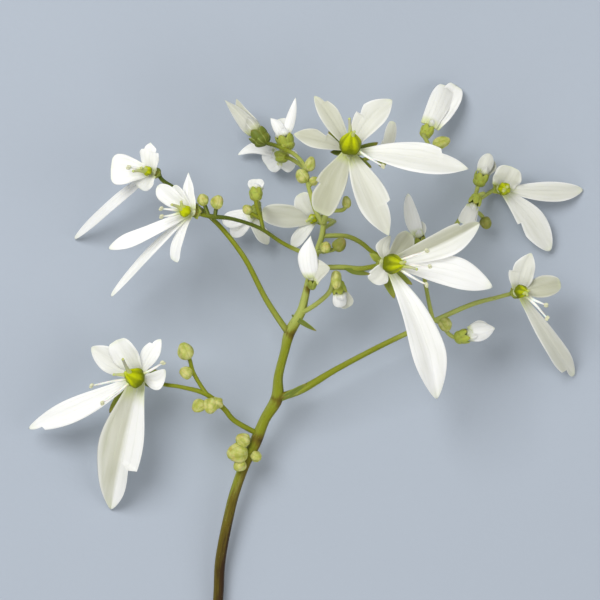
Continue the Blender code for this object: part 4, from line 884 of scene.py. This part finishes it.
def filament_finish(colours):
    """White filament with a greenish foot."""
    made = Finish("filament_white", Subsurface_Weight=0.2, Subsurface_Scale=0.0003)
    streak = made.mix(made.rise(made.noise(6.0), 0.4, 0.8), colours.petal_white, colours.petal_cream_and_shade)
    made.colour(made.mix(made.rise(made.note("along"), 1.6, 0.2, 0.75), streak, colours.style_green))
    made.rough(0.4, 0.55, 9.0)
    made.bump(made.noise(8.0), 0.02)
    return made.material


def anther_finish(colours):
    """Cream anther, dusted with pollen."""
    made = Finish("anther_cream", Sheen_Weight=0.2)
    grains = made.noise(14.0, 2.0)
    made.colour(made.mix(made.rise(grains, 0.4, 0.65), colours.anther_shade, colours.anther_cream))
    made.rough(0.7, 0.9, 12.0)
    made.bump(grains, 0.08)
    return made.material


def stalk_finish(colours):
    """Stalk skin: green when young, olive and brown when old, with lengthwise streaks and flecks, and on
    the main stalk painted shade down its right flank and a painted highlight down its left one.
    """
    made = Finish("stalk_green", Subsurface_Weight=0.06, Subsurface_Scale=0.0004, Specular_IOR_Level=0.15)
    streak = made.noise(3.0, 5.0, 0.65)
    # The tone holds the stalk's age and, on the main stalk, its painted side shade
    worn_and_shaded = made.plus(made.note("tone"), made.sway(streak, 0.7))
    shade = made.note("across")
    colour = made.mix(made.rise(shade, 0.0, 1.0), colours.stalk_green, colours.stalk_light)
    colour = made.mix(made.rise(shade, 0.0, -1.0), colour, colours.stalk_dark)
    colour = made.mix(made.rise(worn_and_shaded, 0.2, 0.6), colour, colours.stalk_olive)
    colour = made.mix(made.rise(worn_and_shaded, 0.55, 1.05), colour, colours.stalk_brown)
    pale = made.times(made.rise(made.noise(1.6, 4.0), 0.5, 0.75, 0.45), made.rise(worn_and_shaded, 0.8, 0.3))
    colour = made.mix(pale, colour, colours.stalk_light)
    made.colour(made.mix(made.rise(made.noise(11.0, 2.0), 0.64, 0.72, 0.55), colour, colours.stalk_brown))
    made.rough(0.36, 0.56, 6.0)
    made.bump(made.plus(made.noise(6.0, 5.0), made.times(streak, 0.8)), 0.07)
    return made.material


def sepal_finish(colours):
    """Green cup and sepals, paler along their edges and a little orange at their tips."""
    made = Finish("sepal_green", Subsurface_Weight=0.08, Subsurface_Scale=0.0004, Specular_IOR_Level=0.2)
    edge = made.rise(made.maths("ABSOLUTE", made.note("across")), 0.7, 1.0, 0.5)
    # A cup or sepal's tone sets how light it is: drawn at random for most, and partly painted shade on the
    # cups of the half-open flowers and on the long sepals
    colour = made.mix(made.note("tone"), colours.sepal_green, colours.sepal_light)
    colour = made.mix(made.rise(made.noise(2.6, 4.0), 0.4, 0.75, 0.5), colour, colours.stalk_olive)
    colour = made.mix(edge, colour, colours.stalk_light)
    made.colour(made.mix(made.rise(made.note("along"), 0.8, 1.0, 0.3), colour, colours.bud_blush))
    made.rough(0.4, 0.6, 7.0)
    made.bump(made.noise(8.0, 4.0), 0.05)
    return made.material


def bud_finish(colours):
    """Closed bud: pale yellow-green or olive, darker in its seams, blushed orange in places."""
    made = Finish("bud_pale_green", Subsurface_Weight=0.12, Subsurface_Scale=0.0005, Specular_IOR_Level=0.2)
    colour = made.mix(made.rise(made.noise(1.4, 4.0), 0.35, 0.65), colours.bud_green, colours.bud_light)
    colour = made.mix(made.rise(made.note("tone"), 0.5, 1.0, 0.65), colour, colours.bud_olive)
    blush = made.times(made.rise(made.noise(1.1, 3.0), 0.5, 0.72), made.rise(made.note("along"), 0.3, 0.9))
    colour = made.mix(made.times(blush, 0.4), colour, colours.bud_blush)
    made.colour(made.mix(made.rise(made.note("across"), -0.8, -1.0, 0.3), colour, colours.bud_olive))
    made.rough(0.4, 0.58, 7.0)
    made.bump(made.noise(9.0, 4.0), 0.05)
    return made.material


def hair_finish(colours):
    """Fine hair, pale below and orange at its tip."""
    made = Finish("stalk_hair", Subsurface_Weight=0.1, Subsurface_Scale=0.0002)
    pale = made.mix(made.noise(4.0), colours.stalk_light, colours.petal_cream_and_shade)
    made.colour(made.mix(made.rise(made.note("along"), 0.5, 1.0, 0.6), pale, colours.bud_blush))
    made.rough(0.4, 0.6, 8.0)
    return made.material


def floor_finish(colours):
    """Plain pale surface with a very faint mottle."""
    made = Finish("floor_pale", Roughness=0.75)
    place = made.add("TexCoord", {})["Object"]
    mottle = made.noise(60.0, 3.0, 0.5, place)
    made.colour(made.mix(mottle, colours.floor, [0.97 * part for part in colours.floor]))
    made.bump(made.noise(1500.0, 2.0, 0.5, place), 0.02)
    return made.material


# What a user would change

def tint(name, description, value):
    return FloatVectorProperty(name=name, description=description, default=value, subtype="COLOR",
                               size=3, min=0.0, max=1.0)


def measure(name, description, value, least, most):
    """A length that is given in millimetres and kept in metres."""
    return FloatProperty(name=name, description=description, default=value * MM, min=least * MM,
                         max=most * MM, unit="LENGTH", precision=5)


class SaxifrageSizes(bpy.types.PropertyGroup):
    petal_thickness: measure("Petal thickness", "Thickness of a petal at its foot", 0.26, 0.05, 0.6)
    sepal_thickness: measure("Sepal thickness", "Thickness of a sepal or bract", 0.32, 0.1, 0.6)
    filament_radius: measure("Filament radius", "Radius of a filament's middle", 0.17, 0.05, 0.25)
    anther_radius: measure("Anther lobe radius", "Radius of an anther's two lobes", 0.2, 0.1, 0.3)
    hair_length: measure("Hair length", "Greatest length of the stalks' hairs", 0.34, 0.1, 0.8)
    hairs_per_mm: FloatProperty(
        name="Hairs per millimetre", description="How many hairs stand on each millimetre of stalk",
        default=9.0, min=0.0, max=30.0)
    edge_waves: FloatProperty(
        name="Petal waves", description="How much the petals' edges wave",
        default=1.0, min=0.0, max=2.0, subtype="FACTOR")
    seed: IntProperty(name="Seed", description="Seed of every random draw", default=11, min=0)


class SaxifrageColours(bpy.types.PropertyGroup):
    petal_white: tint("Petal white", "Colour of the whitest petals", (0.95, 0.95, 0.91))
    # Greenish beige of the creamiest petals, which on the petals also paints the shade on petals and halves
    # of petals that lie in shade
    petal_cream_and_shade: tint("Petal cream", "Colour of the creamiest petals", (0.45, 0.455, 0.33))
    petal_vein: tint("Petal vein", "Fine veins of the petals", (0.62, 0.66, 0.5))
    petal_foot: tint("Petal foot", "Foot of the petals", (0.5, 0.58, 0.08))
    petal_tip: tint("Petal tip", "Tips of the petals", (0.7, 0.76, 0.48))
    # The ovary's lime carries a painted highlight on its top and ridges, and its furrow colour painted
    # shade in its furrows and towards its foot
    ovary_lime: tint("Ovary lime", "Bright top of the ovary", (0.52, 0.58, 0.0))
    ovary_furrow_shade: tint("Ovary furrow", "Furrows and foot of the ovary", (0.15, 0.18, 0.0))
    style_green: tint("Style green", "Styles and feet of the filaments", (0.56, 0.62, 0.14))
    anther_cream: tint("Anther cream", "Pollen on the anthers", (0.86, 0.84, 0.66))
    anther_shade: tint("Anther shade", "Skin of the anthers", (0.66, 0.68, 0.38))
    stalk_green: tint("Stalk green", "Young stalks", (0.22, 0.25, 0.012))
    stalk_dark: tint("Stalk dark green", "Young stalks at the upper left", (0.07, 0.1, 0.01))
    stalk_olive: tint("Stalk olive", "Older stalks", (0.145, 0.115, 0.009))
    stalk_brown: tint("Stalk brown", "Nodes and the lowest stalk", (0.038, 0.018, 0.004))
    stalk_light: tint("Stalk light", "Pale streaks in the stalks", (0.42, 0.47, 0.12))
    sepal_green: tint("Sepal green", "Dark cups and sepals", (0.12, 0.165, 0.02))
    sepal_light: tint("Sepal light", "Pale cups and sepals", (0.42, 0.48, 0.07))
    bud_green: tint("Bud green", "Closed buds", (0.4, 0.44, 0.075))
    bud_light: tint("Bud light", "Light patches of the buds", (0.6, 0.6, 0.22))
    bud_olive: tint("Bud olive", "Olive buds and the seams of all", (0.16, 0.17, 0.02))
    bud_blush: tint("Bud blush", "Orange blush of the buds", (0.5, 0.3, 0.08))
    floor: tint("Floor", "Surface that the stem lies on", (0.4, 0.45, 0.52))


def finish(name, maker):
    """A material by its name, made the first time that it is asked for."""
    return bpy.data.materials.get(name) or maker(bpy.context.scene.saxifrage_colours)


def sizes():
    return bpy.context.scene.saxifrage_sizes


def sepal_thickness():
    return sizes().sepal_thickness / MM


def petal_thickness():
    return sizes().petal_thickness / MM


def drawer(*words):
    """A random draw of its own for a piece, from the seed and the piece's name."""
    return random.Random(" ".join(map(str, (sizes().seed, *words))))


# The pieces

def add_bract(skin, root, tip, width, kind, tone=None):
    blade(skin, root, petal(tip, width, 0.4, 0.25), (0.0, -0.2, 1.0), sepal_thickness(),
          drawer("bract", *tip), kind, BRACT_GRID, 0.5, tone)


def add_cup(skin, bloom):
    """The green cup below a bloom, with sepals that bend back."""
    across, up, facing = frame_of(bloom.facing)
    foot = in_cup(bloom, CUP_DEPTH)
    radius = hub_radius(bloom) + 0.05
    reach = radius + bloom.sepal
    draw = drawer("cup", bloom.name)

    def radius_at(share, angle):
        return (0.38 + (radius - 0.03) * share) * (1.0 + 0.05 * math.cos(FIVE * angle))

    turned(skin, foot, facing, radius_at, 0.0, CUP_DEPTH, CUP_GRID, 0, 0.4)
    for count in range(FIVE):
        out = spoke(across, up, sepal_turn(bloom) + math.tau * count / FIVE)
        base = foot + facing * CUP_DEPTH * 0.62 + out * radius * 0.45
        height = CUP_DEPTH * 0.85 - SEPAL_DROOP * (reach - 1.0) + draw.uniform(-0.15, 0.15)
        tip = foot + facing * height + out * reach * draw.uniform(0.95, 1.02)
        shape = petal(tip, 0.75 + 0.15 * bloom.ovary, 0.4, 0.15, 0.0, 0.18, 0.95)
        blade(skin, base, shape, facing, sepal_thickness(), draw, 0, SEPAL_GRID, 0.5,
              draw.uniform(0.1, 0.8))


def add_opening_cup(skin, flower):
    """The green cup of a half-open flower, with the sepals that clasp its petals."""
    cup = Vector(flower.cup)
    across, up, axis = frame_of(Vector(flower.tip) - cup)
    half = flower.body
    top = cup - axis * NODE_GAP
    depth = opening_cup_depth(flower)
    draw = drawer("cup", flower.name)

    def radius_at(share, angle):
        return half * 0.9 * (0.85 + 0.25 * share) * (1.0 + 0.06 * math.cos(FIVE * angle))

    # The flower's light share is partly painted shade, darker on cups that lie in shade
    turned(skin, top - axis * depth, axis, radius_at, 0.0, depth, CUP_GRID, 0, flower.light)
    for count in range(FIVE):
        out = spoke(across, up, math.tau * count / FIVE)
        base = top - axis * depth * 0.5 + out * half * 0.62
        tip = cup + axis * half * draw.uniform(0.3, 0.55) + out * half * draw.uniform(0.88, 0.94)
        shape = petal(tip, half * 1.2, 0.4, 0.15, 0.0, -0.4, 0.7, foot=0.7)
        blade(skin, base, shape, out, sepal_thickness(), draw, 0, CLASPING_SEPAL_GRID, 0.4, flower.light)


def add_bud(skin, middle, axis, radius, length, tone):
    """A closed bud: an egg of folded sepals, with seams between them, a small point and dents."""
    def radius_at(share, angle):
        seam = hill(math.cos(FIVE * angle), -1.0, 0.25)
        ridge = 0.05 * math.cos(FIVE * angle) - 0.04 * seam + 0.12 * dents(angle, share, 1.3, middle)
        return radius * (1.0 + ridge) * (1.08 - 0.3 * share) * (1.0 + 0.25 * step_up(share, 0.9, 1.0))

    turned(skin, middle, axis, radius_at, -length / 2, length / 2, BUD_GRID, 0, tone)


def add_stamen(skin, root, lean, reach, draw):
    """A tapering filament that carries an anther of two lobes."""
    across, up, _ = frame_of(lean)
    bend = (across * draw.uniform(-1, 1) + up * draw.uniform(-1, 1)) * reach * 0.05
    thick = sizes().filament_radius / MM
    neck = root + lean * (reach - ANTHER_LENGTH * 0.3)
    middle = (root + neck) / 2 + bend
    tube(skin, [(*root, thick * 1.2), (*middle, thick), (*neck, thick * 0.6)], FILAMENT_GRID, 2,
         lambda spot: 0.5)
    lobe = sizes().anther_radius / MM
    tilt = (lean + across * draw.uniform(-0.4, 0.4) + up * draw.uniform(-0.4, 0.4)).normalized()
    for way in (-1, 1):
        turned(skin, root + lean * reach + across * way * lobe * 0.72, tilt,
               lambda share, angle: lobe * (1.0 + 0.12 * math.cos(2 * angle)),
               -ANTHER_LENGTH / 2, ANTHER_LENGTH / 2, ANTHER_GRID, 3, draw.random())


def add_heart(skin, bloom):
    """The ovary with its two styles, and the stamens round it."""
    aside, _, upward = frame_of(bloom.lean)
    heart = Vector(bloom.heart)
    size = bloom.ovary
    draw = drawer("heart", bloom.name)

    def radius_at(share, angle):
        ridge = 0.05 * math.cos(FIVE * angle) + 0.03 * math.cos(2 * FIVE * angle + 0.6)
        return size * (1.0 + ridge + 0.07 * dents(angle, share, 1.5, heart)) * (1.26 - 0.95 * share)

    low, high = (size * share for share in OVARY_REACH)
    # The bloom's light share is partly painted light: ovaries of blooms in full light are painted lighter
    turned(skin, heart, bloom.lean, radius_at, low, high, OVARY_GRID, 0, bloom.light)
    for way, share in zip((-1, 1), STYLE_SHARES):
        root = heart + upward * 0.85 * size + aside * way * size * 0.15
        tip = root + (aside * way * bloom.spread + upward).normalized() * bloom.style * share
        middle = (root + tip) / 2 - aside * way * 0.08
        route = [(*place, thick) for place, thick in zip((root, middle, tip), STYLE_RADII)]
        tube(skin, route, STYLE_GRID, 1, lambda spot: 0.5)
        turned(skin, tip, upward, lambda share, angle: STIGMA_RADIUS * (1.0 + 0.1 * math.cos(3 * angle)),
               *STIGMA_REACH, STIGMA_GRID, 1, draw.random())
    for angle, reach in bloom.stamens:
        out = spoke(Vector((1.0, 0.0, 0.0)), Vector((0.0, 1.0, 0.0)), math.radians(angle))
        path = out * (reach - size * 0.5)
        path.z = path.length * STAMEN_RISE
        add_stamen(skin, heart + out * size * 0.5, path.normalized(), path.length, draw)


def add_petals(skin, bloom):
    """A bloom's petals, rooted in the small disc that holds them together."""
    facing = Vector(bloom.facing).normalized()
    hub = hub_middle(bloom)
    radius = hub_radius(bloom)
    turned(skin, hub, facing, lambda share, angle: radius * (0.95 + 0.1 * share),
           -HUB_DEPTH / 2, HUB_DEPTH / 2, HUB_GRID, 0, bloom.petals[0].cream)
    skin.notes["along"] = [0.04] * len(skin.spots)
    for count, shape in enumerate(bloom.petals):
        outward = shape.tip - hub
        outward -= facing * outward.dot(facing)
        base = hub + outward.normalized() * radius * 0.35
        blade(skin, base, shape, facing, petal_thickness(), drawer(bloom.name, count), 0, PETAL_GRID,
              sizes().edge_waves, shape.cream)


def add_folded_petals(skin, flower):
    """The petals of a half-open flower, folded round its rounded middle.
    A petal whose edges turn down lies over the middle, any other under it."""
    cup = Vector(flower.cup)
    _, _, axis = frame_of(Vector(flower.tip) - cup)
    depth = min(0.6 * (Vector(flower.tip) - cup).length, 2.4 * flower.body)

    def radius_at(share, angle):
        return flower.body * (0.95 - 0.25 * share) * (1.0 + 0.05 * math.cos(3 * angle + 4 * share))

    turned(skin, cup, axis, radius_at, 0.0, depth, BODY_GRID, 0, flower.petals[0].cream)
    skin.notes["along"] = [0.4 * share for share in skin.notes["along"]]
    for count, shape in enumerate(flower.petals):
        outward = shape.tip - cup
        outward -= axis * outward.dot(axis)
        root = cup + axis * 0.25 * depth + outward.normalized() * flower.body * 0.2
        root.z += flower.body * (0.45 if shape.cup < 0.0 else -0.25)
        blade(skin, root, shape._replace(foot=FOLDED_FOOT_SHARE), UPWARD, petal_thickness(),
              drawer(flower.name, count), 0, FOLDED_PETAL_GRID, 0.7 * sizes().edge_waves, shape.cream)


def add_hairs(skin, route, draw):
    """Fine hairs that stand out all round a stalk."""
    points = smooth_route(route, HAIR_STEPS)
    longest = sizes().hair_length / MM
    for (low, low_radius), (high, high_radius) in zip(points, points[1:]):
        across, up, along = frame_of(high - low)
        for _ in range(round((high - low).length * sizes().hairs_per_mm)):
            share = draw.random()
            out = spoke(across, up, draw.uniform(0.0, math.tau))
            radius = low_radius + (high_radius - low_radius) * share
            foot = low + (high - low) * share + out * radius * 0.9
            lean = (out + along * draw.uniform(-0.4, 0.4)).normalized()
            tip = foot + lean * longest * draw.uniform(0.5, 1.0)
            tip.z = max(tip.z, HAIR_CLEARANCE)
            foot.z = max(foot.z, HAIR_CLEARANCE)
            side, other, _ = frame_of(lean)
            ring = []
            for corner in range(3):
                spot = foot + spoke(side, other, math.tau * corner / 3) * HAIR_RADIUS
                ring.append(skin.point(spot, 0.0, 0.0, 0.5, tuple(spot)))
            head = skin.point(tip, 1.0, 0.0, 0.5, tuple(tip))
            skin.faces += [(ring[0], ring[1], head), (ring[1], ring[2], head), (ring[2], ring[0], head),
                           (ring[2], ring[1], ring[0])]
            skin.kinds += [0] * 4


def dress(flowers, add, part, finishes):
    """A fine piece for a part of each flower, in the place of its solid."""
    for flower in flowers:
        skin = Skin()
        add(skin, flower)
        node = f"{flower.name}_{part}"
        skin.build(node + "_fine", finishes, [node])


class SAXIFRAGE_OT_stalks(bpy.types.Operator):
    """Main stalk, branches, thin stalks and the bracts at the forks"""
    bl_idname = "saxifrage.stalks"
    bl_label = "Stalks and bracts"

    def execute(self, context):
        skin = Skin()
        tube(skin, AXIS, MAIN_STALK_GRID, 0, stalk_age, MAIN_RIDGE, MAIN_SIDE_SHADE)
        for route in branch_routes():
            tube(skin, route, STALK_GRID, 0, stalk_age, STALK_RIDGE)
        for root, tip, width in BRACTS:
            add_bract(skin, root, tip, width, 1)
        finishes = [finish("stalk_green", stalk_finish), finish("sepal_green", sepal_finish)]
        skin.build("stalks_and_bracts", finishes, ["stem"])
        return {"FINISHED"}


class SAXIFRAGE_OT_cups(bpy.types.Operator):
    """Green cups and sepals under the blooms and the half-open flowers"""
    bl_idname = "saxifrage.cups"
    bl_label = "Cups and sepals"

    def execute(self, context):
        skin = Skin()
        for bloom in BLOOMS:
            add_cup(skin, bloom)
        roots = {bloom.name: in_cup(bloom, CUP_DEPTH / 2) for bloom in BLOOMS}
        # Each long sepal's lightness partly paints shade
        for name, tip, width, light in LONG_SEPALS:
            add_bract(skin, roots[name], tip, width, 0, light)
        for flower in OPENINGS:
            add_opening_cup(skin, flower)
        skin.build("cups_and_sepals", [finish("sepal_green", sepal_finish)], ["stem"])
        return {"FINISHED"}


class SAXIFRAGE_OT_buds(bpy.types.Operator):
    """Closed buds"""
    bl_idname = "saxifrage.buds"
    bl_label = "Closed buds"

    def execute(self, context):
        skin = Skin()
        for count, bud in enumerate(BUDS):
            add_bud(skin, *bud, 1.0 if count in OLIVE_BUDS else 0.5 * drawer("bud", count).random())
        skin.build("closed_buds", [finish("bud_pale_green", bud_finish)], ["stem"])
        return {"FINISHED"}


class SAXIFRAGE_OT_hairs(bpy.types.Operator):
    """Fine hairs on the stalks"""
    bl_idname = "saxifrage.hairs"
    bl_label = "Stalk hairs"

    def execute(self, context):
        skin = Skin()
        draw = drawer("hairs")
        for route in [AXIS, *branch_routes()]:
            add_hairs(skin, route, draw)
        skin.build("stalk_hairs", [finish("stalk_hair", hair_finish)], ["stem"])
        return {"FINISHED"}


class SAXIFRAGE_OT_petals(bpy.types.Operator):
    """Petals of the open blooms"""
    bl_idname = "saxifrage.petals"
    bl_label = "Petals"

    def execute(self, context):
        dress(BLOOMS, add_petals, "petals", [finish("petal_white", petal_finish)])
        return {"FINISHED"}


class SAXIFRAGE_OT_hearts(bpy.types.Operator):
    """Ovary, styles and stamens of the open blooms"""
    bl_idname = "saxifrage.hearts"
    bl_label = "Hearts"

    def execute(self, context):
        finishes = [finish("ovary_lime", ovary_finish), finish("style_pale_green", style_finish),
                    finish("filament_white", filament_finish), finish("anther_cream", anther_finish)]
        dress(BLOOMS, add_heart, "heart", finishes)
        return {"FINISHED"}


class SAXIFRAGE_OT_opening(bpy.types.Operator):
    """Folded petals of the half-open flowers and white buds"""
    bl_idname = "saxifrage.opening"
    bl_label = "Half-open flowers"

    def execute(self, context):
        finishes = [finish("petal_white", petal_finish)]
        dress(OPENINGS, add_folded_petals, "petals", finishes)
        return {"FINISHED"}


class SAXIFRAGE_OT_stage(bpy.types.Operator):
    """Plain pale floor, soft studio lights and the camera above the spray"""
    bl_idname = "saxifrage.stage"
    bl_label = "Floor, lights and camera"

    def execute(self, context):
        scene = context.scene
        corners = [(x * FLOOR_HALF, y * FLOOR_HALF, 0.0) for x, y in ((-1, -1), (1, -1), (1, 1), (-1, 1))]
        mesh = bpy.data.meshes.new("floor")
        mesh.from_pydata(corners, [], [(0, 1, 2, 3)])
        mesh.materials.append(finish("floor_pale", floor_finish))
        floor = bpy.data.objects.new("floor", mesh)
        scene.collection.objects.link(floor)

        for name, place, size, power in LIGHTS:
            lamp = bpy.data.lights.new(name, "AREA")
            lamp.shape = "DISK"
            lamp.size = size
            lamp.energy = power
            obj = bpy.data.objects.new(name, lamp)
            obj.location = place
            obj.rotation_euler = (LIT_PLACE - obj.location).to_track_quat("-Z", "Y").to_euler()
            scene.collection.objects.link(obj)

        scene.world = bpy.data.worlds.new("studio")
        scene.world.use_nodes = True
        sky = scene.world.node_tree.nodes["Background"]
        sky.inputs["Color"].default_value = SKY_COLOUR
        sky.inputs["Strength"].default_value = SKY_STRENGTH
        scene.view_settings.view_transform = "Standard"

        lens = bpy.data.cameras.new("camera")
        lens.lens = LENS
        lens.sensor_width = SENSOR_WIDTH
        lens.clip_end = FARTHEST
        camera = bpy.data.objects.new("camera", lens)
        height = PICTURE_HEIGHT + PICTURE_WIDTH * LENS / SENSOR_WIDTH
        camera.location = (*(-OUTLINE_MIDDLE.xy * MM), height)
        scene.collection.objects.link(camera)
        scene.camera = camera
        return {"FINISHED"}


PIECES = (SAXIFRAGE_OT_stalks, SAXIFRAGE_OT_cups, SAXIFRAGE_OT_buds, SAXIFRAGE_OT_hairs,
          SAXIFRAGE_OT_petals, SAXIFRAGE_OT_hearts, SAXIFRAGE_OT_opening, SAXIFRAGE_OT_stage)


class SAXIFRAGE_PT_pieces(bpy.types.Panel):
    """Lists the pieces of the saxifrage, in the order that they are made"""
    bl_idname = "SAXIFRAGE_PT_pieces"
    bl_label = "Saxifrage"
    bl_space_type = "VIEW_3D"
    bl_region_type = "UI"
    bl_category = "Saxifrage"

    def draw(self, context):
        for piece in PIECES:
            self.layout.operator(piece.bl_idname)
        for group in (context.scene.saxifrage_sizes, context.scene.saxifrage_colours):
            box = self.layout.box()
            for name in group.__annotations__:
                box.prop(group, name)


CLASSES = (SaxifrageSizes, SaxifrageColours, *PIECES, SAXIFRAGE_PT_pieces)


def register():
    for one in CLASSES:
        bpy.utils.register_class(one)
    bpy.types.Scene.saxifrage_sizes = PointerProperty(type=SaxifrageSizes)
    bpy.types.Scene.saxifrage_colours = PointerProperty(type=SaxifrageColours)


def unregister():
    del bpy.types.Scene.saxifrage_colours
    del bpy.types.Scene.saxifrage_sizes
    for one in reversed(CLASSES):
        bpy.utils.unregister_class(one)


def main():
    register()
    bpy.ops.saxifrage.stalks()
    bpy.ops.saxifrage.cups()
    bpy.ops.saxifrage.buds()
    bpy.ops.saxifrage.hairs()
    bpy.ops.saxifrage.petals()
    bpy.ops.saxifrage.hearts()
    bpy.ops.saxifrage.opening()
    bpy.ops.saxifrage.stage()


if __name__ == "__main__":
    main()
